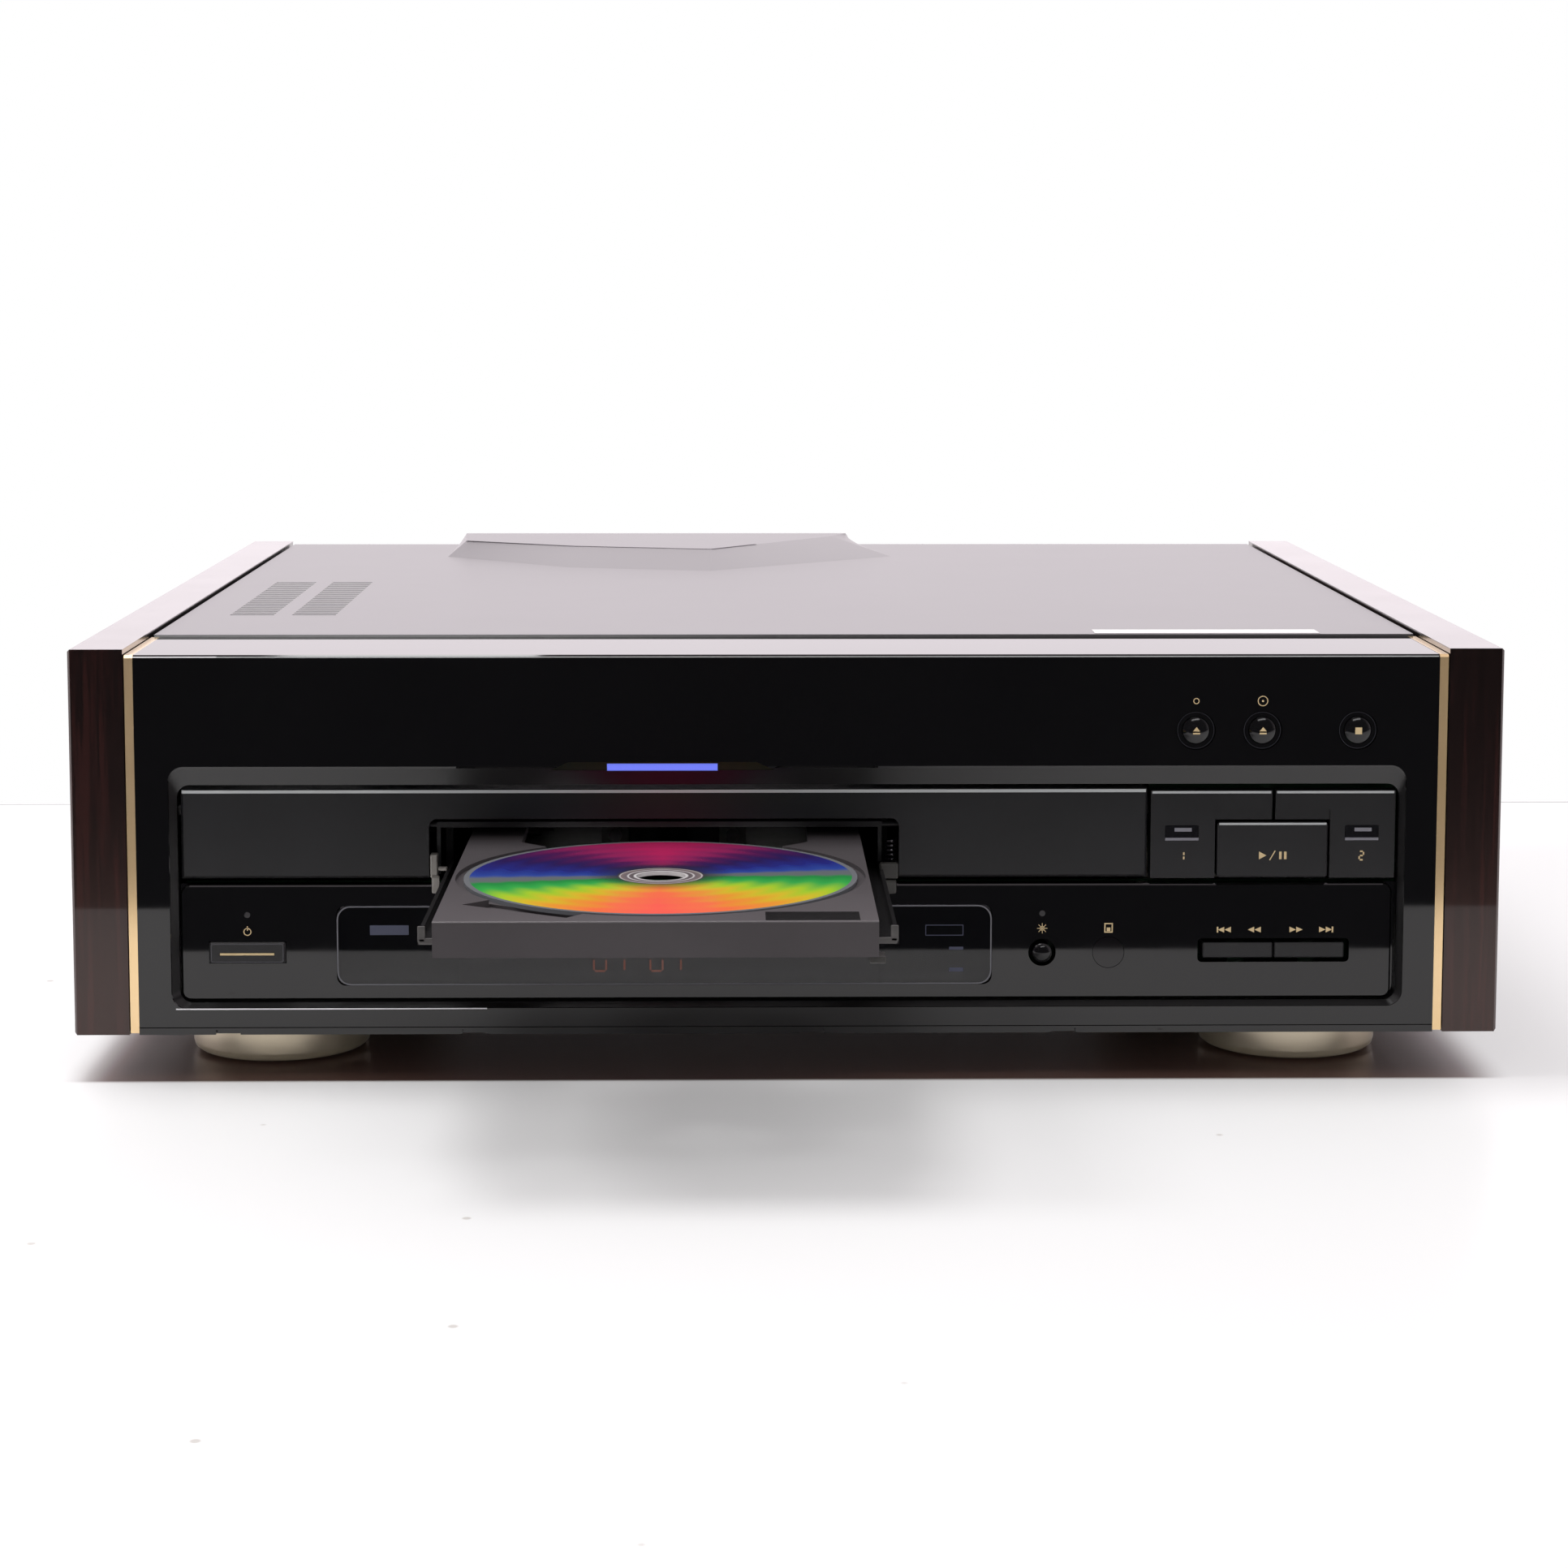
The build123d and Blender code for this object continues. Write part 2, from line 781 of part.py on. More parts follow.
# Two rockers side by side, each on its own upright pin held by the fascia's back
rocker_front = recess_depth - 0.5
rocker_length = 9.0
rocker_half = (rocker_width - rocker_seam) / 2
rocker_pin_radius = 0.9
rocker_pin_depth = rocker_front + rocker_length - 1.3
rocker_centres = [rocker_x - rocker_seam / 2 - rocker_half / 2, rocker_x + rocker_seam / 2 + rocker_half / 2]
bearing_size = 2.6


def rocker(x):
    """One rocker with its upright pin."""
    with BuildPart() as key:
        with BuildSketch(upright(rocker_front)):
            span(x - rocker_half / 2, x + rocker_half / 2,
                 control_height - rocker_height / 2, control_height + rocker_height / 2, 0.5)
        extrude(amount=-rocker_length)
        chamfer(key.faces().sort_by(Axis.Y)[0].edges(), 0.4)
        with BuildSketch(level(control_height - rocker_height / 2 - bearing_size)):
            disc_at(x, rocker_pin_depth, rocker_pin_radius)
        extrude(amount=rocker_height + 2 * bearing_size)
    return key


finish(rocker(rocker_centres[0]), "left_rocker")
finish(rocker(rocker_centres[1]), "right_rocker")

# ================================================================ boards behind the front
# Small brackets on the front board hold the rockers' pins
with BuildPart() as rocker_brackets:
    for x in rocker_centres:
        for low in (control_height - rocker_height / 2 - bearing_size - 0.1,
                    control_height + rocker_height / 2 + 0.3):
            with BuildSketch(level(low)):
                span(x - bearing_size, x + bearing_size, rocker_pin_depth - 1.6, front_board_depth)
                disc_at(x, rocker_pin_depth, rocker_pin_radius + pin_gap)
            extrude(amount=bearing_size - 0.2)
            with BuildSketch(level(low)):
                disc_at(x, rocker_pin_depth, rocker_pin_radius + pin_gap)
            extrude(amount=bearing_size - 0.2, mode=Mode.SUBTRACT)

front_board_bottom = fascia_bottom - 3.0
key_board_left = key_a_left + 1.0
key_board_bottom = key_bottom - 2.0
key_board_right = key_b_right + 3.0
upper_board_bottom = button_height - 8.0
with BuildPart() as front_boards:
    with BuildSketch(upright(front_board_depth)):
        span(fascia_left, key_board_right, front_board_bottom, fascia_top - 1.0)
    extrude(amount=-board_thickness)
    with BuildSketch(upright(front_board_depth)):
        span(key_board_left, key_board_right, key_board_bottom + 1.5, key_top + 4.0)
    extrude(amount=-board_thickness)
    with BuildSketch(upright(front_board_depth)):
        span(button_x_small - 9, button_x_stop + 9, upper_board_bottom, button_height + 8.0)
    extrude(amount=-board_thickness)
    add(rocker_brackets.part)
finish(front_boards, "front_boards")

switch_places = button_places + [
    switch_a, switch_b, play_switch, (power_x, control_height), (display_button_x, display_button_height),
]
with BuildPart() as tact_switches:
    with BuildSketch(upright(front_board_depth)):
        with Locations(switch_places):
            Rectangle(switch_side, switch_side)
    extrude(amount=switch_height)
finish(tact_switches, "tact_switches")

# ================================================================ large drawer
flange_bottom = large_floor_height - tray_flange_rise
tray_left = mech_x - large_half_width
tray_right = mech_x + large_half_width
hinge_depth = fascia_back + 2.5
hinge_height = drawer_bottom + hatch_height - 2.8
cheek_plate = 1.8
hinge_pin_radius = 1.0
spring_x = hatch_right - 2.3
bracket_top = drawer_bottom + 3.6
bracket_depth = 7.0
with BuildPart() as drawer_front:
    with BuildSketch(upright(recess_depth)):
        span(drawer_left, drawer_right, drawer_bottom, drawer_top)
    extrude(amount=-drawer_skin)
    chamfer(drawer_front.faces().sort_by(Axis.Y)[0].edges(), drawer_chamfer)
    with BuildSketch(upright(fascia_back)):
        span(drawer_left, drawer_right, drawer_top - drawer_wall, drawer_top)
        span(drawer_left, drawer_left + drawer_wall, flange_bottom, drawer_top)
        span(drawer_right - drawer_wall, drawer_right, flange_bottom, drawer_top)
    extrude(amount=-drawer_return)
    with BuildSketch(upright(0)):
        span(hatch_left, hatch_right, drawer_bottom - hatch_corner, drawer_bottom + hatch_height,
             hatch_corner)
    extrude(amount=-fascia_back, mode=Mode.SUBTRACT)
    for x in (hatch_left - cheek_plate, hatch_right + cheek_plate):
        with BuildSketch(crosswise(x - cheek_plate / 2)):
            span(fascia_back, hinge_depth + 4, drawer_bottom, large_floor_height - pin_gap)
            disc_at(hinge_depth, hinge_height, hinge_pin_radius + pin_gap)
        extrude(amount=cheek_plate)
        with BuildSketch(crosswise(x - cheek_plate / 2)):
            disc_at(hinge_depth, hinge_height, hinge_pin_radius + pin_gap)
        extrude(amount=cheek_plate, mode=Mode.SUBTRACT)
    with BuildSketch(upright(fascia_back)):
        span(spring_x - 2.2, hatch_right + cheek_plate / 2, drawer_bottom + 0.4, bracket_top)
    extrude(amount=-bracket_depth)
finish(drawer_front, "drawer_front")

# Moulded tray behind it: recess for the large disc, opening for the spindle and pickup, channels
# for the small tray below, and the rack along the right-hand side
rack_root = tray_right
rack_pitch_line = rack_root + dedendum * gear_module
drive = Shaft(rack_pitch_line + gear_module * drive_teeth / 2, gear_depth)
rack_low = flange_bottom - 12.0
web_left = mech_x - channel_inner - channel_wall
small_rack_root = mech_x - small_half_width + small_wall + 2.0
small_rack_pitch = small_rack_root + dedendum * gear_module
tray_pinion = Shaft(small_rack_pitch + gear_module * tray_teeth / 2, tray_pinion_depth)
pinion_post_radius = 2.0
hatch_clear = 30.0
opening_half = small_half_width - arm_inset + 4.0
opening_end = spindle_depth + pickup_outer + lens_radius + 2.0
with BuildPart() as large_tray:
    with BuildSketch(level(large_floor_height)):
        span(tray_left, tray_right, large_front, large_back)
    extrude(amount=large_floor + large_rim_rise)
    with BuildSketch(level(large_floor_height + large_floor)):
        disc_at(mech_x, spindle_depth, large_recess_radius)
    extrude(amount=large_rim_rise, mode=Mode.SUBTRACT)
    with BuildSketch(level(large_floor_height)):
        disc_at(mech_x, spindle_depth, opening_half)
        span(mech_x - opening_half, mech_x + opening_half, spindle_depth, opening_end)
    extrude(amount=large_floor + large_rim_rise, mode=Mode.SUBTRACT)
    # side walls with their flanges
    for edge, side in ((tray_left, -1), (tray_right, 1)):
        with BuildSketch(level(rack_low)):
            span(min(edge, edge - side * drawer_wall), max(edge, edge - side * drawer_wall),
                 large_front + drawer_return, large_back)
        extrude(amount=large_floor_height - rack_low)
        with BuildSketch(level(flange_bottom)):
            span(min(edge, edge + side * tray_flange), max(edge, edge + side * tray_flange),
                 large_front + drawer_return, large_back)
        extrude(amount=tray_flange_thickness)
    # channels for the small tray's runners
    for side in (-1, 1):
        wall = mech_x + side * channel_inner
        lip = mech_x + side * (small_half_width + 1.0)
        with BuildSketch(level(lip_bottom)):
            span(min(wall, wall + side * channel_wall), max(wall, wall + side * channel_wall),
                 hatch_clear, large_back - 4)
        extrude(amount=large_floor_height - lip_bottom)
        with BuildSketch(level(lip_bottom)):
            span(min(wall, lip), max(wall, lip), hatch_clear, large_back - 4)
        extrude(amount=channel_lip)
    # post for the small tray's pinion
    with BuildSketch(level(lip_bottom)):
        span(web_left, tray_pinion.x + 6, tray_pinion.depth - 10, tray_pinion.depth + 10)
    extrude(amount=channel_lip)
    with BuildSketch(level(lip_top)):
        disc_at(tray_pinion.x, tray_pinion.depth, pinion_post_radius)
    extrude(amount=small_bottom - lip_top - 1.0)
    with BuildSketch(level(rack_low)):
        with BuildLine():
            Polyline(*(
                rack_teeth(rack_pitch_line, rack_root, gear_depth - 14, large_back, gear_depth)
                + [(rack_root - drawer_wall / 2, large_back),
                   (rack_root - drawer_wall / 2, gear_depth - 14)]
            ), close=True)
        make_face()
    extrude(amount=rack_height)
finish(large_tray, "large_tray")

# Hatch door, folded up behind the top of the hatch, with a leg at each end. It stops short of the
# spring at the right, and its right-hand leg stops above the spring's bracket
spring_radius = 1.7
spring_wire = 0.5
door_left = hatch_left + 2.2
door_right = spring_x - spring_radius - spring_wire - 1.0
door_thickness = 1.8
door_length = hatch_height - 1.0
door_bottom = hinge_height - door_thickness / 2
leg_width = 1.2
legs = ((door_left, drawer_bottom + 0.6), (door_right - leg_width, bracket_top + 0.8))
with BuildPart() as flap_door:
    with BuildSketch(crosswise(door_left)):
        span(hinge_depth - 1.0, hinge_depth + door_length, door_bottom, door_bottom + door_thickness)
    extrude(amount=door_right - door_left)
    with BuildSketch(crosswise(hatch_left - cheek_plate * 1.5)):
        disc_at(hinge_depth, hinge_height, hinge_pin_radius)
    extrude(amount=hatch_width + 3 * cheek_plate)
    for x, leg_bottom in legs:
        with BuildSketch(crosswise(x)):
            with BuildLine():
                Polyline(
                    (hinge_depth - 1.0, hinge_height), (hinge_depth - 1.0, leg_bottom),
                    (hinge_depth + 2.2, leg_bottom), (hinge_depth + 3.4, hinge_height), close=True,
                )
            make_face()
        extrude(amount=leg_width)
finish(flap_door, "flap_door")

# Small upright coil spring on the bracket at the right of the hatch
spring_turns = 5
spring_length = 7.5
spring_depth = fascia_back + 1.2 + spring_radius + spring_wire
with BuildPart() as flap_spring:
    with BuildLine(Plane(origin=(spring_x, front_y + spring_depth, bracket_top + spring_wire))):
        coil = Helix(spring_length / spring_turns, spring_length, spring_radius)
    with BuildSketch(Plane(origin=coil @ 0, z_dir=coil % 0)):
        Rectangle(spring_wire, spring_wire)
    sweep(path=coil, is_frenet=True)
finish(flap_spring, "flap_spring")

# ================================================================ small tray
tray_low_x = mech_x - small_half_width
tray_high_x = mech_x + small_half_width
rear_edge = disc_depth + small_disc_diameter / 2 - 10.6
notch_step = rear_edge + 9.0
with BuildPart() as small_tray:
    with BuildSketch(level(small_bottom)):
        span(tray_low_x, tray_high_x, -tray_reach, arm_end)
    extrude(amount=small_tray_skin)
    with BuildSketch(level(small_front_bottom)):
        span(tray_low_x, tray_low_x + small_wall, -tray_reach, arm_end)
        span(tray_high_x - small_wall, tray_high_x, -tray_reach, arm_end)
        span(tray_low_x, tray_high_x, -tray_reach, -tray_reach + small_wall + 1.0)
    extrude(amount=small_bottom - small_front_bottom)
    top_front = small_tray.edges().filter_by(Axis.X).group_by(Axis.Z)[-1].sort_by(Axis.Y)[0]
    fillet(top_front, 0.8)
    # rests for the two sizes of small disc
    with BuildSketch(level(disc_bottom)):
        disc_at(mech_x, disc_depth, small_recess_radius)
    extrude(amount=small_tray_skin, mode=Mode.SUBTRACT)
    with BuildSketch(level(disc_bottom - inner_recess_depth)):
        disc_at(mech_x, disc_depth, inner_recess_radius)
    extrude(amount=small_tray_skin, mode=Mode.SUBTRACT)
    # opening for the turntable and the pickup, wider towards the back
    with BuildSketch(level(small_front_bottom)):
        with BuildLine():
            Polyline(
                (mech_x - slot_half_width, disc_depth), (mech_x - slot_half_width, rear_edge - 18),
                (mech_x - notch_half_width, rear_edge), (mech_x - notch_half_width - 8.6, notch_step),
                (mech_x - small_half_width + arm_inset, arm_end + 1),
                (mech_x + small_half_width - arm_inset, arm_end + 1),
                (mech_x + notch_half_width + 8.6, notch_step), (mech_x + notch_half_width, rear_edge),
                (mech_x + slot_half_width, rear_edge - 18), (mech_x + slot_half_width, disc_depth),
                close=True,
            )
        make_face()
        disc_at(mech_x, disc_depth, slot_half_width)
    extrude(amount=small_front_height, mode=Mode.SUBTRACT)
    # finger hollow beside the disc
    with BuildSketch(level(disc_bottom - 0.9)):
        with BuildLine():
            Polyline(
                (mech_x - 57.0, disc_depth - 45.0), (mech_x - 25.7, disc_depth - 64.6),
                (mech_x - 20.3, disc_depth - 57.5), (mech_x - 49.3, disc_depth - 37.6), close=True,
            )
        make_face()
    extrude(amount=small_tray_skin, mode=Mode.SUBTRACT)
    # rack along the left wall, for the pinion in the large tray
    with BuildSketch(level(small_front_bottom + 1.0)):
        with BuildLine():
            Polyline(*(
                rack_teeth(small_rack_pitch, small_rack_root, -tray_reach + 5, arm_end,
                           tray_pinion_depth)
                + [(tray_low_x + small_wall / 2, arm_end),
                   (tray_low_x + small_wall / 2, -tray_reach + 5)]
            ), close=True)
        make_face()
    extrude(amount=rack_height)
finish(small_tray, "small_tray")

# Black runners: open channels along both sides
with BuildPart() as small_tray_runners:
    for side in (-1, 1):
        inner = mech_x + side * small_half_width
        outer = mech_x + side * runner_outer
        with BuildSketch(upright(-tray_reach + runner_start)):
            with BuildLine():
                Polyline(
                    (inner, runner_bottom), (outer, runner_bottom),
                    (outer, runner_bottom + runner_height),
                    (outer - side * runner_wall, runner_bottom + runner_height),
                    (outer - side * runner_wall, runner_bottom + runner_wall),
                    (inner + side * runner_wall, runner_bottom + runner_wall),
                    (inner + side * runner_wall, small_front_bottom + 3.0),
                    (inner, small_front_bottom + 3.0), close=True,
                )
            make_face()
        extrude(amount=-(tray_reach - runner_start + arm_end))
finish(small_tray_runners, "small_tray_runners")

with BuildPart() as small_disc:
    with BuildSketch(level(disc_bottom)):
        disc_at(mech_x, disc_depth, small_disc_diameter / 2)
        with Locations((mech_x, disc_depth)):
            Circle(small_disc_hole / 2, mode=Mode.SUBTRACT)
    extrude(amount=disc_thickness)
finish(small_disc, "small_disc")

# ================================================================ drives
with BuildPart() as small_tray_pinion:
    with BuildSketch(level_at(tray_pinion.x, tray_pinion.depth, small_front_bottom + 0.7)):
        with BuildLine():
            Polyline(*gear_outline(tray_teeth, 180.0), close=True)
        make_face()
        Circle(pinion_post_radius + pin_gap, mode=Mode.SUBTRACT)
    extrude(amount=gear_height)
    with BuildSketch(level(lip_top + 0.2)):
        disc_at(tray_pinion.x, tray_pinion.depth, 5.0)
        with Locations((tray_pinion.x, tray_pinion.depth)):
            Circle(pinion_post_radius + pin_gap, mode=Mode.SUBTRACT)
    extrude(amount=small_front_bottom + 0.7 - lip_top - 0.2)
finish(small_tray_pinion, "small_tray_pinion")

drive_bottom = belt_height - pulley_height / 2
groove = belt_size + 0.6
with BuildPart() as drive_gear:
    with BuildSketch(level_at(drive.x, drive.depth, rack_low - 0.2)):
        with BuildLine():
            Polyline(*gear_outline(drive_teeth, 180.0), close=True)
        make_face()
    extrude(amount=gear_height)
    with BuildSketch(level(drive_bottom)):
        disc_at(drive.x, drive.depth, pulley_radius - 4)
    extrude(amount=rack_low - 0.2 - drive_bottom)
    for low in (drive_bottom, belt_height + groove / 2):
        with BuildSketch(level(low)):
            disc_at(drive.x, drive.depth, pulley_radius + belt_size)
        extrude(amount=(pulley_height - groove) / 2)
    with BuildSketch(level(drive_bottom)):
        disc_at(drive.x, drive.depth, pulley_radius)
    extrude(amount=pulley_height)
    with BuildSketch(level(drive_bottom)):
        disc_at(drive.x, drive.depth, shaft_radius + pin_gap)
    extrude(amount=pulley_height + gear_height + 20, mode=Mode.SUBTRACT)
finish(drive_gear, "drive_gear")

motor_bottom = drive_bottom - 3.5 - motor_length
motor_shaft_radius = 1.0
with BuildPart() as loading_motor:
    with BuildSketch(level(motor_bottom)):
        disc_at(motor_x, motor_depth, motor_radius)
    extrude(amount=motor_length)
    fillet(loading_motor.edges().filter_by(GeomType.CIRCLE), 1.0)
    with BuildSketch(level(motor_bottom + motor_length)):
        disc_at(motor_x, motor_depth, 3.0)
    extrude(amount=1.5)
    with BuildSketch(level(motor_bottom + motor_length)):
        disc_at(motor_x, motor_depth, motor_shaft_radius)
    extrude(amount=3.5 + pulley_height)
finish(loading_motor, "loading_motor")

with BuildPart() as motor_pulley:
    for low in (drive_bottom, belt_height + groove / 2):
        with BuildSketch(level(low)):
            disc_at(motor_x, motor_depth, motor_pulley_radius + belt_size)
        extrude(amount=(pulley_height - groove) / 2)
    with BuildSketch(level(drive_bottom)):
        disc_at(motor_x, motor_depth, motor_pulley_radius)
    extrude(amount=pulley_height)
    with BuildSketch(level(drive_bottom)):
        disc_at(motor_x, motor_depth, motor_shaft_radius + pin_gap)
    extrude(amount=pulley_height, mode=Mode.SUBTRACT)
finish(motor_pulley, "motor_pulley")


def belt_loop(gap):
    """Draw the loop round both pulleys, so far outside their grooves."""
    with BuildSketch(level(belt_height - belt_size / 2)) as loop:
        disc_at(drive.x, drive.depth, pulley_radius + gap)
        disc_at(motor_x, motor_depth, motor_pulley_radius + gap)
        make_hull()
    return loop.sketch


with BuildPart() as drive_belt:
    extrude(belt_loop(fit_gap + belt_size), amount=belt_size)
    extrude(belt_loop(fit_gap), amount=belt_size, mode=Mode.SUBTRACT)
finish(drive_belt, "drive_belt")

# ================================================================ disc mechanism
rod_block = 6.0
lens_depth = spindle_depth + pickup_inner
carriage_front = lens_depth - lens_setback
rod_front = carriage_front - rod_overrun
rod_back = carriage_front + carriage_length + pickup_outer - pickup_inner + rod_overrun
frame_front = spindle_depth - frame_lead
frame_back = rod_back + rod_block + frame_margin
frame_left = mech_x - frame_width / 2
frame_right = mech_x + frame_width / 2
post_places = [
    (x, depth)
    for x in (frame_left + post_inset, frame_right - post_inset)
    for depth in (frame_front + post_inset, frame_back - post_inset)
]
slot_half = rod_spacing / 2 - 6.0
with BuildPart() as mechanism_frame:
    with BuildSketch(level(frame_height)):
        span(frame_left, frame_right, frame_front, frame_back, 6.0)
    extrude(amount=frame_thickness)
    with BuildSketch(level(frame_height - frame_rim)):
        span(frame_left, frame_right, frame_front, frame_back, 6.0)
        with Locations((mech_x, (frame_front + frame_back) / 2)):
            RectangleRounded(frame_width - 4, frame_back - frame_front - 4, 4.0, mode=Mode.SUBTRACT)
    extrude(amount=frame_rim)
    with BuildSketch(level(frame_height - frame_rim)):
        with Locations(post_places):
            Circle(post_radius + 3)
    extrude(amount=frame_rim + frame_thickness + 3)
    for depth in (rod_front - rod_block, rod_back):
        with BuildSketch(level(frame_height + frame_thickness)):
            for x in (mech_x - rod_spacing / 2, mech_x + rod_spacing / 2):
                span(x - 5, x + 5, depth, depth + rod_block)
        extrude(amount=rod_height + rod_radius + 2 - frame_height - frame_thickness)
    with BuildSketch(level(0)):
        with Locations(post_places):
            Circle(post_radius + pin_gap)
        span(mech_x - slot_half, mech_x + slot_half, rod_front + 14, rod_back - 4, 5.0)
        disc_at(mech_x, spindle_depth, 9.0)
    extrude(amount=frame_height * 2, mode=Mode.SUBTRACT)
    for x in (mech_x - rod_spacing / 2, mech_x + rod_spacing / 2):
        with BuildSketch(upright(rod_front - rod_block)):
            disc_at(x, rod_height, rod_radius + pin_gap)
        extrude(amount=-(rod_back - rod_front + 2 * rod_block), mode=Mode.SUBTRACT)
finish(mechanism_frame, "mechanism_frame")

with BuildPart() as guide_rods:
    with BuildSketch(upright(rod_front - rod_block)):
        for x in (mech_x - rod_spacing / 2, mech_x + rod_spacing / 2):
            disc_at(x, rod_height, rod_radius)
    extrude(amount=-(rod_back - rod_front + 2 * rod_block))
finish(guide_rods, "guide_rods")

motor_top = frame_height
with BuildPart() as spindle_motor:
    with BuildSketch(level(motor_top - spindle_motor_height)):
        disc_at(mech_x, spindle_depth, spindle_motor_radius)
    extrude(amount=spindle_motor_height)
    with BuildSketch(level(motor_top)):
        disc_at(mech_x, spindle_depth, 7.0)
    extrude(amount=frame_thickness + 4)
finish(spindle_motor, "spindle_motor")

hub_bottom = motor_top + frame_thickness + 4 + 0.2
with BuildPart() as turntable:
    with BuildSketch(level(turntable_top - turntable_thickness)):
        disc_at(mech_x, spindle_depth, turntable_radius)
    extrude(amount=turntable_thickness)
    with BuildSketch(level(hub_bottom)):
        disc_at(mech_x, spindle_depth, 5.0)
    extrude(amount=turntable_top - hub_bottom)
    with BuildSketch(level(turntable_top)):
        disc_at(mech_x, spindle_depth, small_disc_hole / 2 - fit_gap)
    extrude(amount=cone_height, taper=25)
finish(turntable, "turntable")

carriage_bottom = rod_height - carriage_height / 2 + 1.0
with BuildPart() as pickup_carriage:
    with BuildSketch(level(carriage_bottom)):
        span(mech_x - rod_spacing / 2 - 5, mech_x + rod_spacing / 2 + 5,
             carriage_front, carriage_front + carriage_length, 3.0)
    extrude(amount=carriage_height)
    with BuildSketch(level(carriage_bottom + carriage_height)):
        disc_at(mech_x, lens_depth, lens_radius + 2)
    extrude(amount=1.0)
    for x in (mech_x - rod_spacing / 2, mech_x + rod_spacing / 2):
        with BuildSketch(upright(carriage_front)):
            disc_at(x, rod_height, rod_radius + pin_gap)
        extrude(amount=-carriage_length, mode=Mode.SUBTRACT)
    with BuildSketch(level(carriage_bottom + carriage_height - 1.0)):
        disc_at(mech_x, lens_depth, lens_radius)
    extrude(amount=3.0, mode=Mode.SUBTRACT)

with BuildPart() as pickup_lens:
    with BuildSketch(level(carriage_bottom + carriage_height - 1.0)):
        disc_at(mech_x, lens_depth, lens_radius - pin_gap)
    extrude(amount=2.5)
pickup_carriage.part = Compound(children=[pickup_carriage.part, pickup_lens.part])
finish(pickup_carriage, "pickup_carriage")

# Clamp: an arm hinged behind the drawer carries the clamper over the spindle
pivot_height = clamper_bottom + clamper_height + 3.0
arm_left = mech_x - clamp_arm_width / 2
bearing_x = frame_width / 2 + 2.0 + 2 * sheet
collar_width = 3.0
with BuildPart() as clamp_arm:
    with BuildSketch(level(pivot_height - clamp_arm_thickness / 2)):
        span(arm_left, arm_left + clamp_arm_width, spindle_depth - clamp_arm_lead, clamp_pivot_depth,
             clamp_arm_corner)
        disc_at(mech_x, spindle_depth, clamp_head_radius)
    extrude(amount=clamp_arm_thickness)
    with BuildSketch(crosswise(arm_left)):
        disc_at(clamp_pivot_depth, pivot_height, clamp_pivot_radius + clamp_eye_wall)
    extrude(amount=clamp_arm_width)
    with BuildSketch(level(0)):
        disc_at(mech_x, spindle_depth, clamp_hole)
        span(mech_x - clamp_arm_slot / 2, mech_x + clamp_arm_slot / 2,
             spindle_depth + clamper_radius * 2, clamp_pivot_depth - clamp_arm_width / 2,
             clamp_arm_corner - clamp_arm_thickness)
    extrude(amount=2 * pivot_height, mode=Mode.SUBTRACT)
    with BuildSketch(crosswise(arm_left)):
        disc_at(clamp_pivot_depth, pivot_height, clamp_pivot_radius + pin_gap)
    extrude(amount=clamp_arm_width, mode=Mode.SUBTRACT)
finish(clamp_arm, "clamp_arm")

arm_top = pivot_height + clamp_arm_thickness / 2
with BuildPart() as clamper:
    with BuildSketch(level(clamper_bottom)):
        disc_at(mech_x, spindle_depth, clamper_radius)
    extrude(amount=clamper_height)
    with BuildSketch(level(clamper_bottom + clamper_height)):
        disc_at(mech_x, spindle_depth, clamp_hole - 0.6)
    extrude(amount=arm_top + 0.3 - clamper_bottom - clamper_height)
    with BuildSketch(level(arm_top + 0.3)):
        disc_at(mech_x, spindle_depth, clamp_hole + 4)
    extrude(amount=1.6)
    with BuildSketch(level(clamper_bottom)):
        disc_at(mech_x, spindle_depth, small_disc_hole / 2 + 1.5)
    extrude(amount=3.5, mode=Mode.SUBTRACT)
finish(clamper, "clamper")

with BuildPart() as clamp_bracket:
    for x in (mech_x - bearing_x, mech_x + bearing_x - sheet * 2):
        with BuildSketch(crosswise(x)):
            span(clamp_pivot_depth - 8, clamp_pivot_depth + 8, chassis_floor, pivot_height + 6)
        extrude(amount=sheet * 2)
    with BuildSketch(crosswise(mech_x - bearing_x)):
        span(clamp_pivot_depth + 8 - sheet, clamp_pivot_depth + 8, pivot_height - 6, pivot_height + 6)
    extrude(amount=2 * bearing_x)
    for x in (arm_left - collar_width - fit_gap, arm_left + clamp_arm_width + fit_gap):
        with BuildSketch(crosswise(x)):
            disc_at(clamp_pivot_depth, pivot_height, clamp_pivot_radius + clamp_eye_wall)
        extrude(amount=collar_width)
    with BuildSketch(crosswise(mech_x - bearing_x - 1)):
        disc_at(clamp_pivot_depth, pivot_height, clamp_pivot_radius)
    extrude(amount=2 * bearing_x + 2)
finish(clamp_bracket, "clamp_bracket")

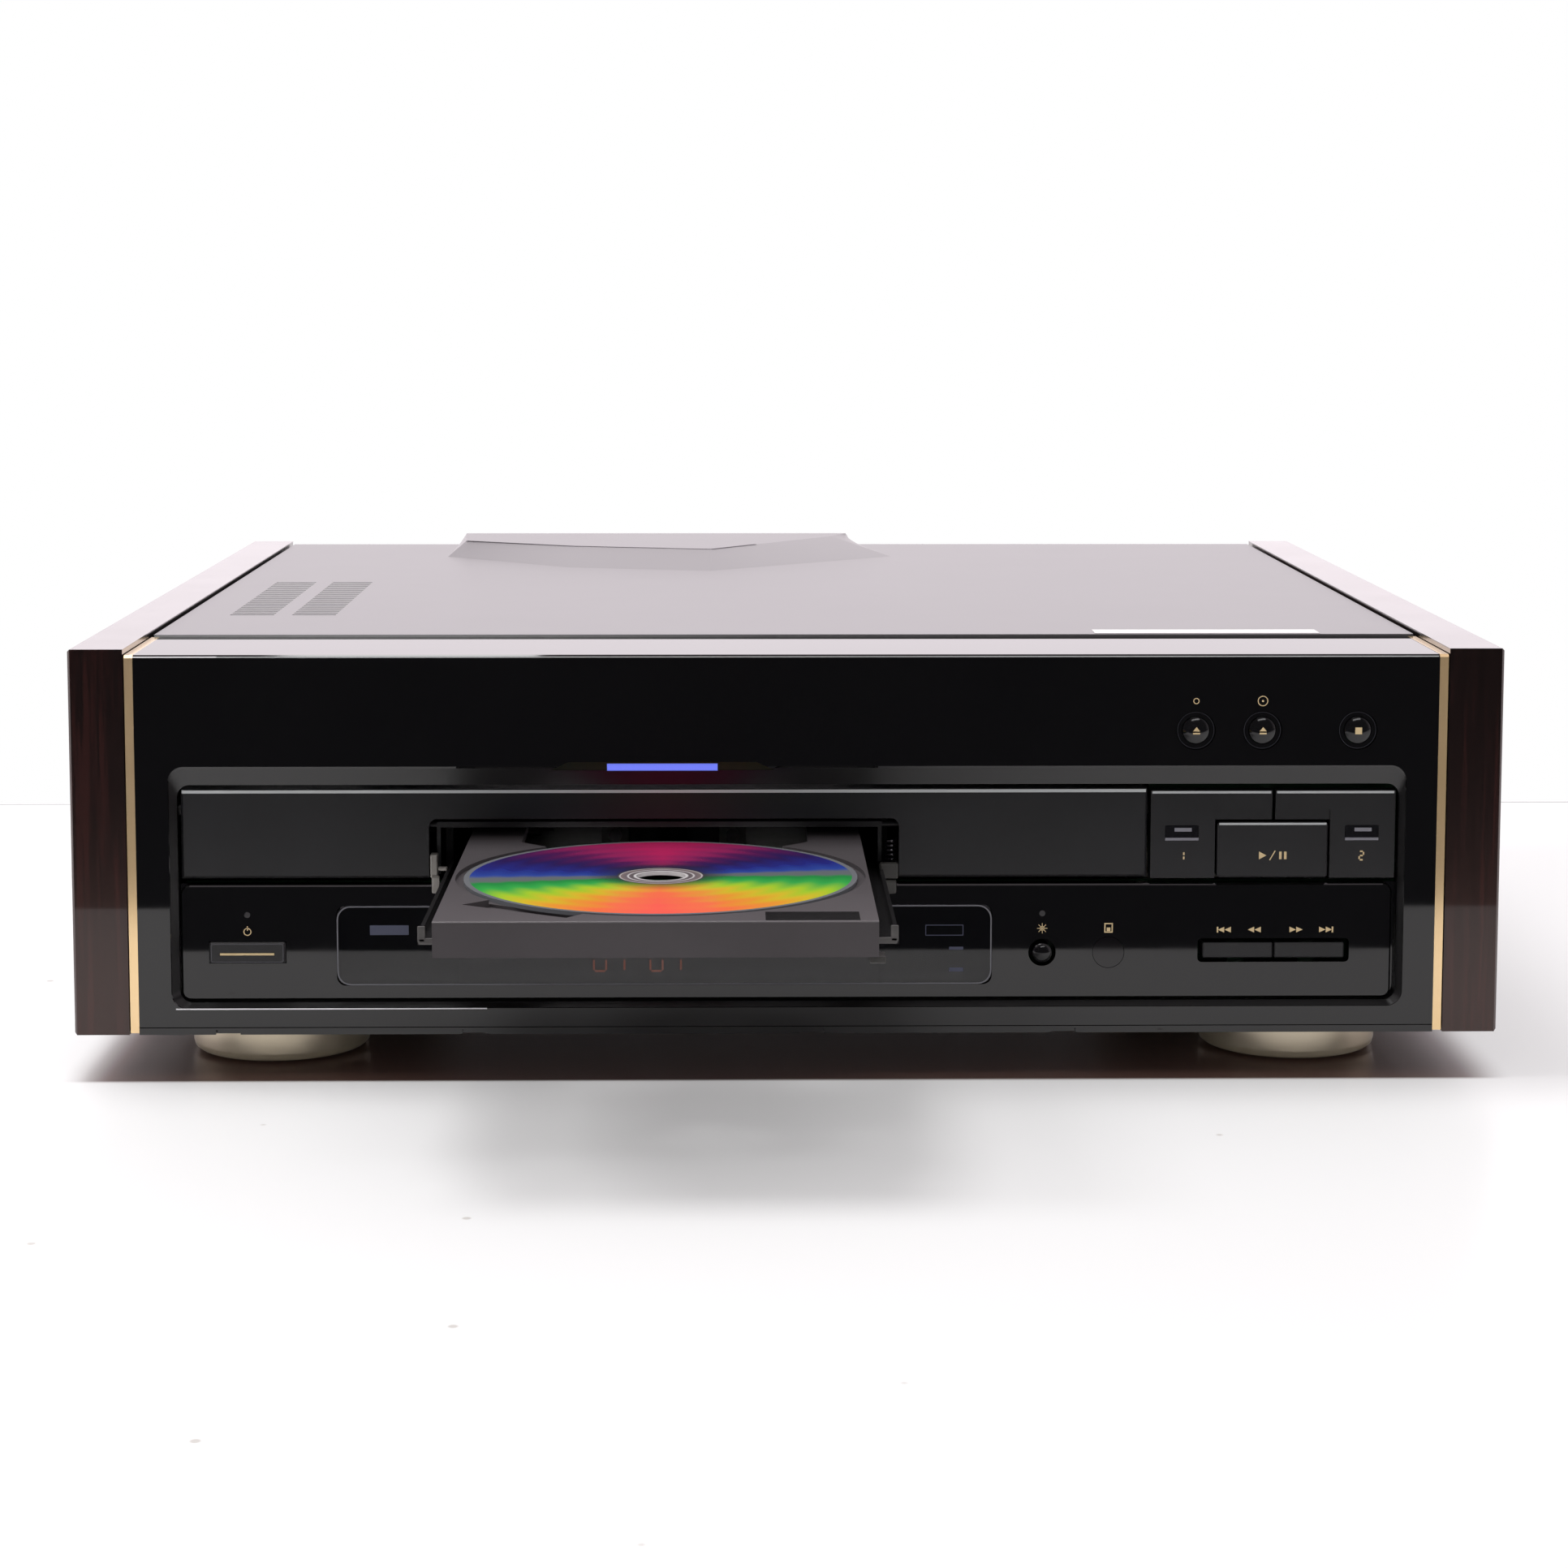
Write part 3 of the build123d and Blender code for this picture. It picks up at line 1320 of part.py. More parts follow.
# ================================================================ chassis
gear_window_half = gear_module * drive_teeth / 2 + 4
boss_height = 5.0
board_right_left = drive.x - 2
board_right = chassis_side - sheet - 4
board_back = rear_depth - 6
board_front = 92.0
power_left = tray_left - tray_flange - rail_offset + 3
power_right = frame_left - 8
boss_places = [
    (x, depth)
    for x in (board_right_left + 6, board_right - 6)
    for depth in (board_front + 6, board_back - 6)
] + [
    (x, depth)
    for x in (power_left + 6, power_right - 6)
    for depth in (board_front + power_board_lead, board_back - 6)
]
chassis_top = cover_bottom - sheet
with BuildPart() as bottom_chassis:
    with BuildSketch(upright(panel_face)):
        with BuildLine():
            Polyline(
                (-chassis_side, chassis_bottom), (chassis_side, chassis_bottom),
                (chassis_side, chassis_top + sheet), (chassis_side - sheet, chassis_top + sheet),
                (chassis_side - sheet, chassis_floor), (-chassis_side + sheet, chassis_floor),
                (-chassis_side + sheet, chassis_top + sheet), (-chassis_side, chassis_top + sheet),
                close=True,
            )
        make_face()
    extrude(amount=-(rear_depth + sheet - panel_face))
    # the side walls are low behind the front and full height under the cover
    with BuildSketch(crosswise(-chassis_side)):
        span(panel_face, panel_depth + cover_start_gap, drawer_bottom - 4, chassis_top + 4)
    extrude(amount=2 * chassis_side, mode=Mode.SUBTRACT)
    with BuildSketch(level(chassis_top)):
        for side in (-1, 1):
            low = side * (chassis_side - sheet)
            high = side * (cover_side - sheet - 0.4)
            span(min(low, high), max(low, high), panel_depth + cover_start_gap, rear_depth)
    extrude(amount=sheet)
    with BuildSketch(upright(panel_face)):
        span(-chassis_side, chassis_side, chassis_bottom, inner_bottom - flange_reach - 0.2)
    extrude(amount=-sheet)
    with BuildSketch(level(chassis_floor)):
        with Locations(boss_places):
            Circle(4.0)
    extrude(amount=boss_height)
    with BuildSketch(level(chassis_floor)):
        with Locations(post_places):
            Circle(post_radius)
    extrude(amount=frame_height + frame_thickness + lift_height + 1.5 - chassis_floor)
    with BuildSketch(level(chassis_floor)):
        disc_at(drive.x, drive.depth, 6.0)
        disc_at(motor_x, motor_depth, 8.0)
        with Locations(post_places):
            Circle(post_radius + 3)
    extrude(amount=motor_bottom - chassis_floor)
    with BuildSketch(level(motor_bottom)):
        disc_at(drive.x, drive.depth, 6.0)
        with Locations(post_places):
            Circle(post_radius + 3)
    extrude(amount=frame_height - frame_rim - motor_bottom)
    with BuildSketch(level(frame_height - frame_rim)):
        disc_at(drive.x, drive.depth, 6.0)
    extrude(amount=drive_bottom - 0.2 - (frame_height - frame_rim))
    with BuildSketch(level(drive_bottom - 0.2)):
        disc_at(drive.x, drive.depth, shaft_radius)
    extrude(amount=rack_low + gear_height - drive_bottom + 1)
    for side in (-1, 1):
        with BuildSketch(crosswise(side * chassis_side)):
            with Locations([(depth, side_screw_height) for depth in screw_depths]):
                Circle(screw_radius + fit_gap)
        extrude(amount=-side * sheet, mode=Mode.SUBTRACT)
finish(bottom_chassis, "bottom_chassis")

# Rails for the large drawer: a web with two lips round the tray's flange
lip_low_top = flange_bottom - running_gap
lip_high_bottom = flange_bottom + tray_flange_thickness + running_gap
with BuildPart() as drawer_rails:
    for edge, side in ((tray_left, -1), (tray_right, 1)):
        tip = edge + side * 0.8
        web = edge + side * (tray_flange + rail_offset)
        back = web + side * rail_thickness
        with BuildSketch(upright(rail_start)):
            with BuildLine():
                Polyline(
                    (back, chassis_floor), (back, lip_high_bottom + rail_lip),
                    (tip, lip_high_bottom + rail_lip), (tip, lip_high_bottom),
                    (web, lip_high_bottom), (web, lip_low_top), (tip, lip_low_top),
                    (tip, lip_low_top - rail_lip), (web, lip_low_top - rail_lip),
                    (web, chassis_floor), close=True,
                )
            make_face()
        extrude(amount=-(rail_end - rail_start))
    with BuildSketch(crosswise(tray_right)):
        span(gear_depth - gear_window_half, gear_depth + gear_window_half,
             chassis_floor + 10, lip_low_top - rail_lip - 1.5)
    extrude(amount=20, mode=Mode.SUBTRACT)
finish(drawer_rails, "drawer_rails")

# Back of the cabinet
jack_columns = 4
jack_x = 165.0
jack_height = base + 62.0
inlet_x = -172.0
inlet_height = base + 34.0
inlet_width = 26.0
inlet_size = 19.0
jack_places = [
    (jack_x + (column - (jack_columns - 1) / 2) * jack_pitch, jack_height + row * jack_spacing)
    for column in range(jack_columns) for row in (-0.5, 0.5)
]
block_half_width = (jack_columns - 1) / 2 * jack_pitch + jack_block_margin
block_half_height = jack_spacing / 2 + jack_block_margin
with BuildPart() as rear_panel:
    with BuildSketch(upright(rear_depth)):
        span(-chassis_side + sheet, chassis_side - sheet, chassis_floor, chassis_top)
        with Locations(jack_places):
            Circle(jack_radius + jack_collar + fit_gap, mode=Mode.SUBTRACT)
        with Locations((inlet_x, inlet_height)):
            Rectangle(inlet_width + 0.6, inlet_size + 0.6, mode=Mode.SUBTRACT)
    extrude(amount=-sheet)
finish(rear_panel, "rear_panel")

with BuildPart() as output_jacks:
    with BuildSketch(upright(rear_depth)):
        span(jack_x - block_half_width, jack_x + block_half_width,
             jack_height - block_half_height, jack_height + block_half_height)
    extrude(amount=jack_block)
    with BuildSketch(upright(rear_depth)):
        with Locations(jack_places):
            Circle(jack_radius + jack_collar)
    extrude(amount=-sheet)
    with BuildSketch(upright(rear_depth + sheet)):
        with Locations(jack_places):
            Circle(jack_radius)
    extrude(amount=-jack_length)
    with BuildSketch(upright(rear_depth + sheet + jack_length)):
        with Locations(jack_places):
            Circle(jack_pin_radius)
    extrude(amount=jack_length, mode=Mode.SUBTRACT)
finish(output_jacks, "output_jacks")

inlet_mouth = rear_depth + sheet + 1.0
cavity_depth = 15.0
with BuildPart() as mains_inlet:
    with BuildSketch(upright(inlet_mouth)):
        with Locations((inlet_x, inlet_height)):
            Rectangle(inlet_width, inlet_size)
    extrude(amount=cavity_depth + 3)
    with BuildSketch(upright(rear_depth)):
        with Locations((inlet_x, inlet_height)):
            Rectangle(inlet_width + 5, inlet_size + 5)
    extrude(amount=2.0)
    with BuildSketch(upright(inlet_mouth)):
        with Locations((inlet_x, inlet_height)):
            RectangleRounded(inlet_width - 8, inlet_size - 9, 4.0)
    extrude(amount=cavity_depth, mode=Mode.SUBTRACT)
    with BuildSketch(upright(inlet_mouth - cavity_depth)):
        with Locations((inlet_x - 4.3, inlet_height), (inlet_x + 4.3, inlet_height)):
            Circle(1.2)
    extrude(amount=-8.0)
finish(mains_inlet, "mains_inlet")

# ================================================================ boards and parts inside
board_bottom = chassis_floor + boss_height
board_top = board_bottom + board_thickness
# each chip's place as shares of the board's width and length, and its side
chips = ((0.29, 0.19, 1.2 * chip_side), (0.7, 0.39, 0.9 * chip_side), (0.31, 0.56, chip_side),
         (0.73, 0.75, 1.3 * chip_side))
with BuildPart() as main_board:
    with BuildSketch(level(board_bottom)):
        span(board_right_left, board_right, board_front, board_back)
    extrude(amount=board_thickness)
    with BuildSketch(level(board_top)):
        for across, along, wide in chips:
            x = board_right_left + across * (board_right - board_right_left)
            depth = board_front + along * (board_back - board_front)
            span(x - wide / 2, x + wide / 2, depth - wide / 2, depth + wide / 2)
    extrude(amount=chip_height)
finish(main_board, "main_board")

power_front = board_front + power_board_setback
with BuildPart() as power_board:
    with BuildSketch(level(board_bottom)):
        span(power_left, power_right, power_front, board_back)
    extrude(amount=board_thickness)
finish(power_board, "power_board")

transformer_depth = board_back - transformer_setback
transformer_x = (power_left + power_right) / 2
with BuildPart() as transformer:
    with BuildSketch(level(board_top)):
        span(transformer_x - core_width / 2, transformer_x + core_width / 2,
             transformer_depth - core_length / 2, transformer_depth + core_length / 2)
    extrude(amount=core_height)
    with BuildSketch(level(board_top + coil_inset)):
        span(transformer_x - core_width / 2 + coil_inset, transformer_x + core_width / 2 - coil_inset,
             transformer_depth - core_length / 2 - coil_inset,
             transformer_depth + core_length / 2 + coil_inset, coil_inset / 2)
    extrude(amount=core_height - 2 * coil_inset)
finish(transformer, "transformer")

capacitor_places = [
    (transformer_x + column * capacitor_pitch, power_front + capacitor_setback + row * capacitor_pitch)
    for column in (-1, 0, 1) for row in (0, 1)
]
with BuildPart() as capacitors:
    with BuildSketch(level(board_top)):
        with Locations(capacitor_places):
            Circle(capacitor_radius)
    extrude(amount=capacitor_height)
finish(capacitors, "capacitors")

fin_count = 7
sink_depth = power_front + sink_setback
with BuildPart() as heat_sink:
    with BuildSketch(level(board_top)):
        span(transformer_x - sink_width / 2, transformer_x + sink_width / 2,
             sink_depth, sink_depth + sink_web)
        for index in range(fin_count):
            fin_x = transformer_x + (index - (fin_count - 1) / 2) * sink_width / fin_count
            span(fin_x - fin_thickness / 2, fin_x + fin_thickness / 2,
                 sink_depth + sink_web, sink_depth + sink_web + fin_length)
    extrude(amount=sink_height)
finish(heat_sink, "heat_sink")

# ================================================================ cover
def hump_block(height):
    """The raised field at the cover's back, as a solid that stands on this height.

    A level field ends in front at a crease that comes forward to a tip, and gentle slopes run
    down from the crease to the cover. Its sides are steep.
    """
    crease = [
        (hump_left, 0.0), (hump_left + hump_flank, hump_reach_left), (hump_knee, hump_reach_knee),
        (hump_tip, hump_reach), (hump_shoulder, hump_reach_right), (hump_right, 0.0),
    ]
    foot = [
        (hump_left - hump_flank, 0.0), (hump_left - hump_flank, hump_reach_left + hump_slope / 2),
        (hump_knee, hump_reach_knee + hump_slope), (hump_tip, hump_reach + hump_slope),
        (hump_shoulder + hump_spread, hump_reach_right + hump_slope), (hump_right + hump_flank, 0.0),
    ]
    low, high = (
        Wire.make_polygon([(x, front_y + cover_back - reach, level_z) for x, reach in outline], close=True)
        for outline, level_z in ((foot, height), (crease, height + hump_height))
    )
    return Solid.make_loft([low, high], ruled=True)


with BuildPart() as top_cover:
    with BuildSketch(upright(panel_depth + cover_start_gap)):
        with BuildLine():
            Polyline(
                (-cover_side, chassis_floor + 4), (-cover_side, cover_top), (cover_side, cover_top),
                (cover_side, chassis_floor + 4), (cover_side - sheet, chassis_floor + 4),
                (cover_side - sheet, cover_bottom), (-cover_side + sheet, cover_bottom),
                (-cover_side + sheet, chassis_floor + 4), close=True,
            )
        make_face()
    extrude(amount=-(cover_back - panel_depth - cover_start_gap))
    add(hump_block(cover_top))
    add(hump_block(cover_bottom), mode=Mode.SUBTRACT)
    with BuildSketch(level(cover_bottom)):
        for field in (0, 1):
            for row in range(vent_rows):
                row_depth = vent_depth + (row + 0.5) * vent_length / vent_rows
                span(vent_x + field * vent_pitch - vent_width / 2,
                     vent_x + field * vent_pitch + vent_width / 2,
                     row_depth - vent_slot / 2, row_depth + vent_slot / 2)
    extrude(amount=sheet, mode=Mode.SUBTRACT)
    for side in (-1, 1):
        with BuildSketch(crosswise(side * cover_side)):
            with Locations([(depth, side_screw_height) for depth in screw_depths]):
                Circle(screw_radius + fit_gap)
        extrude(amount=-side * sheet, mode=Mode.SUBTRACT)
finish(top_cover, "top_cover")

# Screws that hold the cheeks through cover and chassis
with BuildPart() as case_screws:
    for side in (-1, 1):
        wall = side * (chassis_side - sheet)
        with BuildSketch(crosswise(wall)):
            with Locations([(depth, side_screw_height) for depth in screw_depths]):
                Circle(screw_head_radius)
        extrude(amount=-side * screw_head)
        with BuildSketch(crosswise(wall)):
            with Locations([(depth, side_screw_height) for depth in screw_depths]):
                Circle(screw_radius)
        extrude(amount=side * (cheek_inner - chassis_side + sheet + side_screw_reach - 1.0))
finish(case_screws, "case_screws")

# ================================================================ feet
foot_places = {
    "front_left_foot": (-foot_x, foot_setback),
    "front_right_foot": (foot_x, foot_setback),
    "rear_left_foot": (-foot_x, cabinet_depth - foot_setback),
    "rear_right_foot": (foot_x, cabinet_depth - foot_setback),
}


def foot(x, depth):
    """Turned foot with a shallow hollow for its pad."""
    with BuildPart() as turned:
        with BuildSketch(Plane(origin=(x, front_y + depth, 0), x_dir=(1, 0, 0), z_dir=(0, -1, 0))):
            with BuildLine():
                Polyline(
                    (0, pad_thickness), (pad_radius + fit_gap, pad_thickness),
                    (pad_radius + fit_gap, pad_reveal), (foot_radius - 1.6, pad_reveal),
                    (foot_radius - 0.4, pad_reveal + 0.9), (foot_radius, pad_reveal + 2.4),
                    (foot_radius, chassis_bottom - 3.6), (foot_radius - 0.8, chassis_bottom - 2.8),
                    (foot_radius - 0.8, chassis_bottom), (0, chassis_bottom), close=True,
                )
            make_face()
        revolve(axis=Axis((x, front_y + depth, 0), (0, 0, 1)))
    return turned


for name, (x, depth) in foot_places.items():
    finish(foot(x, depth), name)

with BuildPart() as foot_pads:
    with BuildSketch(level(0)):
        with Locations(list(foot_places.values())):
            Circle(pad_radius)
    extrude(amount=pad_thickness)
finish(foot_pads, "foot_pads")
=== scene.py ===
"""Looks of a laserdisc player with a large drawer, and a small disc tray that stands open.

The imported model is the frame. Each sub-assembly is a class that holds its sizes in millimetres,
dresses its own nodes and adds the small pieces that the solids leave out. X is to the right as the
front is seen, Y to the back and Z up, and depths are counted back from the front face.
"""
import logging
import math
from dataclasses import dataclass, field
from enum import Enum

import bmesh
import bpy
from mathutils import Matrix, Vector


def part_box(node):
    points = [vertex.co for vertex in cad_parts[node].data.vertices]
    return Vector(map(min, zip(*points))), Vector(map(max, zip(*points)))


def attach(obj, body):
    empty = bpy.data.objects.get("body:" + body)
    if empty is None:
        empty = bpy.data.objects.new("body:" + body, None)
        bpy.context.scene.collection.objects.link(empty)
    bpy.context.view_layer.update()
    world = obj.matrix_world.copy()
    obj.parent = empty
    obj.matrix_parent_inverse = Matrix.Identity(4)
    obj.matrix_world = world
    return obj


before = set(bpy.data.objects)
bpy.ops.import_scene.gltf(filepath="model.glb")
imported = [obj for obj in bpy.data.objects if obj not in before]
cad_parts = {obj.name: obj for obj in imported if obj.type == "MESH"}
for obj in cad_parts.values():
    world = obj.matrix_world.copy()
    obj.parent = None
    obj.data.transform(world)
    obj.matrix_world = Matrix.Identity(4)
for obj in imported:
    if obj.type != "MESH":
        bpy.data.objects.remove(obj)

Node, Socket, Tree = bpy.types.Node, bpy.types.NodeSocket, bpy.types.NodeTree
Shape = bmesh.types.BMesh
Triple = tuple[float, float, float]
Quad = tuple[float, float, float, float]
Block = tuple[Triple, Triple, float]

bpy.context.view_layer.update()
MM = 0.001
FRONT_Y = -140.3
# Prints and labels stand this far off what they lie on
HAIR = 0.01

logging.basicConfig(level=logging.INFO, format="%(message)s")
log = logging.getLogger("player")


# ---------------------------------------------------------------- small tools
def linear(colour: str) -> Quad:
    """Turn an sRGB hex value into the linear colour that shaders take.

    Args:
        colour: six hex digits, such as "a0b1c2".

    Returns:
        Red, green, blue and an alpha of one.
    """
    shares = [int(colour[i:i + 2], 16) / 255 for i in (0, 2, 4)]
    return (*(s / 12.92 if s <= 0.04045 else ((s + 0.055) / 1.055) ** 2.4 for s in shares), 1.0)


def put(tree: Tree, kind: str, inputs: dict | None = None,
        stops: tuple[tuple[float, str], ...] = (), **settings) -> Node:
    """Add one node with its settings, and set or link its inputs.

    Args:
        tree: the node tree that gets it.
        kind: the node's type, without ShaderNode in front.
        inputs: values, sockets or nodes by input name or number. A node gives its first output
            in use.
        stops: a colour ramp's places from 0 to 1, each with its hex colour.
        **settings: the node's own properties.

    Returns:
        The new node.
    """
    node = tree.nodes.new("ShaderNode" + kind)
    for name, value in settings.items():
        setattr(node, name, value)
    for key, value in (inputs or {}).items():
        if isinstance(value, Node):
            value = next(output for output in value.outputs if output.enabled)
        if isinstance(value, Socket):
            tree.links.new(value, node.inputs[key])
        else:
            node.inputs[key].default_value = value
    if stops:
        elements = node.color_ramp.elements
        elements.remove(elements[-1])
        elements[0].position, elements[0].color = stops[0][0], linear(stops[0][1])
        for place, colour in stops[1:]:
            elements.new(place).color = linear(colour)
    return node


def per_metre(size_mm: float) -> float:
    """Texture scale at which one feature has this size."""
    return 1000.0 / size_mm


def add_object(name: str, data: bpy.types.ID) -> bpy.types.Object:
    """Put a mesh, lamp or camera into the scene as an object of that name."""
    made = bpy.data.objects.new(name, data)
    bpy.context.scene.collection.objects.link(made)
    return made


# ---------------------------------------------------------------- finishes
class Grain(Enum):
    """How a surface was made, which sets the form of its fine relief."""

    MOULDED = "moulded"
    POLISHED = "polished"
    BRUSHED_X = "brushed along X"
    BRUSHED_Y = "brushed along Y"
    BRUSHED_Z = "brushed along Z"
    SPRAYED = "sprayed"


# Brushed lines are drawn out: along them the pattern's scale is only this share
DRAWN = 0.03
STRETCH = {Grain.BRUSHED_X: (DRAWN, 1.0, 1.0), Grain.BRUSHED_Y: (1.0, DRAWN, 1.0),
           Grain.BRUSHED_Z: (1.0, 1.0, DRAWN)}
# Nearly all values of a noise lie between these two
NOISE_SPAN = {"From Min": 0.3, "From Max": 0.7}
# Size of the patches that handling leaves in a gloss
WIPE_MM = 25.0
# A ring wave turns by this many radians for each unit
WAVE_TURN = 20


@dataclass(frozen=True)
class Finish:
    """A surface with a soft drift of colour and gloss, and the fine relief of how it was made.

    colour and shade are the two ends of its colour drift, and grain_mm is the size of its relief.
    draft leans its shading back, as a slight lean of the piece itself would.
    """

    name: str
    colour: str
    shade: str
    roughness: float
    metallic: float = 0.0
    ior: float = 1.5
    specular: float = 0.5
    coat: float = 0.0
    coat_roughness: float = 0.03
    grain: Grain = Grain.MOULDED
    grain_mm: float = 0.5
    relief_mm: float = 0.01
    drift_mm: float = 40.0
    gloss_drift: float = 0.06
    draft: float = 0.0
    glow: str = ""
    glow_strength: float = 0.0

    def colours(self, tree: Tree, place: Socket) -> Node:
        """Colour of the surface, which the finishes with a pattern replace.

        Args:
            tree: the material's node tree.
            place: Object coordinates.

        Returns:
            The node that gives it. The other methods take and return the same.
        """
        drift = put(tree, "TexNoise", {"Vector": place, "Scale": per_metre(self.drift_mm),
                                       "Detail": 4.0})
        share = put(tree, "MapRange", {"Value": drift, **NOISE_SPAN})
        return put(tree, "Mix", {"Factor": share, 6: linear(self.colour), 7: linear(self.shade)},
                   data_type="RGBA")

    def relief(self, tree: Tree, place: Socket) -> Node:
        """Bumped normal of the surface."""
        along = put(tree, "Mapping", {"Vector": place,
                                      "Scale": STRETCH.get(self.grain, (1.0, 1.0, 1.0))})
        if self.grain is Grain.SPRAYED:
            height = put(tree, "TexVoronoi", {"Vector": along, "Scale": per_metre(self.grain_mm)},
                         feature="SMOOTH_F1")
        else:
            height = put(tree, "TexNoise", {"Vector": along, "Scale": per_metre(self.grain_mm),
                                            "Detail": 3.0})
        normal = put(tree, "Bump", {"Height": height, "Distance": self.relief_mm * MM})
        if self.draft:
            leaned = put(tree, "VectorMath", {0: normal, 1: (0.0, 0.0, self.draft)},
                         operation="ADD")
            normal = put(tree, "VectorMath", {0: leaned}, operation="NORMALIZE")
        return normal

    def gloss(self, tree: Tree, place: Socket) -> Node:
        """Roughness with a slow drift, as from handling."""
        wipe = put(tree, "TexNoise", {"Vector": place, "Scale": per_metre(WIPE_MM), "Detail": 5.0})
        return put(tree, "MapRange", {
            "Value": wipe, **NOISE_SPAN, "To Min": self.roughness * (1 - self.gloss_drift),
            "To Max": self.roughness * (1 + self.gloss_drift)})

    def extras(self) -> dict:
        """Further inputs of the shader, for the finishes that have them."""
        return {}

    def material(self) -> bpy.types.Material:
        """Make the material once, and hand it out again after that."""
        known = bpy.data.materials.get(self.name)
        if known:
            return known
        made = bpy.data.materials.new(self.name)
        made.use_nodes = True
        tree = made.node_tree
        tree.nodes.clear()
        place = put(tree, "TexCoord").outputs["Object"]
        inputs = {
            "Base Color": self.colours(tree, place), "Roughness": self.gloss(tree, place),
            "Normal": self.relief(tree, place), "Metallic": self.metallic, "IOR": self.ior,
            "Specular IOR Level": self.specular, "Coat Weight": self.coat,
            "Coat Roughness": self.coat_roughness, **self.extras(),
        }
        if self.glow:
            inputs["Emission Color"] = linear(self.glow)
            inputs["Emission Strength"] = self.glow_strength
        put(tree, "OutputMaterial", {"Surface": put(tree, "BsdfPrincipled", inputs)})
        made.diffuse_color = linear(self.colour)
        return made


@dataclass(frozen=True)
class Rosewood(Finish):
    """Dark rosewood veneer under thick lacquer: faint red-brown streaks, a mirror gloss.

    The veneer turns up at the front end, turn_mm behind the front face.
    """

    streak: str = "2a1210"
    streak_mm: float = 1.6
    figure_mm: float = 14.0
    turn_mm: float = 1.0
    upward: Triple = (1.0, 1.0, 0.03)
    backward: Triple = (0.6, 0.03, 1.0)
    sheen: str = "ffd0c4"

    def colours(self, tree: Tree, place: Socket) -> Node:
        """Streaks that run back along the sides and up the front ends."""
        depth = put(tree, "SeparateXYZ", {"Vector": place}).outputs["Y"]
        behind = put(tree, "Math", {0: depth, 1: (FRONT_Y + self.turn_mm) * MM},
                     operation="GREATER_THAN")
        upward, backward = (put(tree, "Mapping", {"Vector": place, "Scale": scale})
                            for scale in (self.upward, self.backward))
        along = put(tree, "Mix", {"Factor": behind, 4: upward, 5: backward}, data_type="VECTOR")
        grain = put(tree, "TexNoise", {"Vector": along, "Scale": per_metre(self.streak_mm),
                                       "Detail": 6.0, "Roughness": 0.65, "Distortion": 0.6})
        figure = put(tree, "TexNoise", {"Vector": along, "Scale": per_metre(self.figure_mm),
                                        "Detail": 2.0, "Distortion": 1.2})
        share = put(tree, "Math", {0: grain, 1: figure}, operation="MULTIPLY")
        wide = put(tree, "MapRange", {"Value": share, "From Min": 0.16, "From Max": 0.36})
        return put(tree, "ValToRGB", {"Fac": wide},
                   ((0.0, self.shade), (0.5, self.colour), (1.0, self.streak)))

    def extras(self) -> dict:
        """A warm cast in what the stained surface mirrors."""
        return {"Specular Tint": linear(self.sheen)}


@dataclass(frozen=True)
class PianoFront(Finish):
    """Polished black front whose long recess has satin walls and a satin upper slope."""

    slope_from_mm: float = 20.0
    slope_to_mm: float = 105.0
    slope_roughness: float = 0.34
    face_mm: float = 0.3

    def gloss(self, tree: Tree, place: Socket) -> Node:
        """Rough in the recess, which lies behind the front face between two heights."""
        parts = put(tree, "SeparateXYZ", {"Vector": place})
        behind = put(tree, "Math", {0: parts.outputs["Y"], 1: (FRONT_Y + self.face_mm) * MM},
                     operation="GREATER_THAN")
        middle = (self.slope_from_mm + self.slope_to_mm) / 2
        reach = (self.slope_to_mm - self.slope_from_mm) / 2
        level = put(tree, "Math", {0: parts.outputs["Z"], 1: middle * MM, 2: reach * MM},
                    operation="COMPARE")
        both = put(tree, "Math", {0: behind, 1: level}, operation="MULTIPLY")
        return put(tree, "Mix", {"Factor": both, 2: super().gloss(tree, place),
                                 3: self.slope_roughness}, data_type="FLOAT")


@dataclass(frozen=True)
class PressedCover(Finish):
    """Sprayed steel cover, shaded more evenly than its pressed shape alone would be.

    The photograph hardly shows the slopes round the raised field, so the shading normals of all
    nearly level faces and of the front rim are drawn towards up. Faces that lean to the right are
    drawn only a little, because that slope does show.
    """

    softening: float = 30.0
    flank_softening: float = 1.0
    level_from: float = 0.97
    flank_from: float = 0.03
    rim_until: float = -0.9

    def relief(self, tree: Tree, place: Socket) -> Node:
        """Fine orange peel, with the normals of slopes and of the front rim drawn towards up."""
        peel = super().relief(tree, place)
        facing = put(tree, "NewGeometry").outputs["True Normal"]
        parts = put(tree, "SeparateXYZ", {"Vector": facing}).outputs
        level, flank, rim = (put(tree, "Math", {0: parts[axis], 1: bound}, operation=operation)
                             for axis, bound, operation in (
                                 ("Z", self.level_from, "GREATER_THAN"),
                                 ("X", self.flank_from, "GREATER_THAN"),
                                 ("Y", self.rim_until, "LESS_THAN")))
        pull = put(tree, "MapRange", {"Value": flank, "To Min": self.softening,
                                      "To Max": self.flank_softening})
        pull = put(tree, "Math", {0: level, 1: pull}, operation="MULTIPLY")
        pull = put(tree, "Math", {0: rim, 1: self.softening, 2: pull}, operation="MULTIPLY_ADD")
        drawn = put(tree, "VectorMath", {0: peel, 1: put(tree, "CombineXYZ", {"Z": pull})},
                    operation="ADD")
        return put(tree, "VectorMath", {0: drawn}, operation="NORMALIZE")


@dataclass(frozen=True)
class Smoked(Finish):
    """Smoked clear acrylic: its own colour darkens what shows through it."""

    def extras(self) -> dict:
        """Light passes through."""
        return {"Transmission Weight": 1.0}


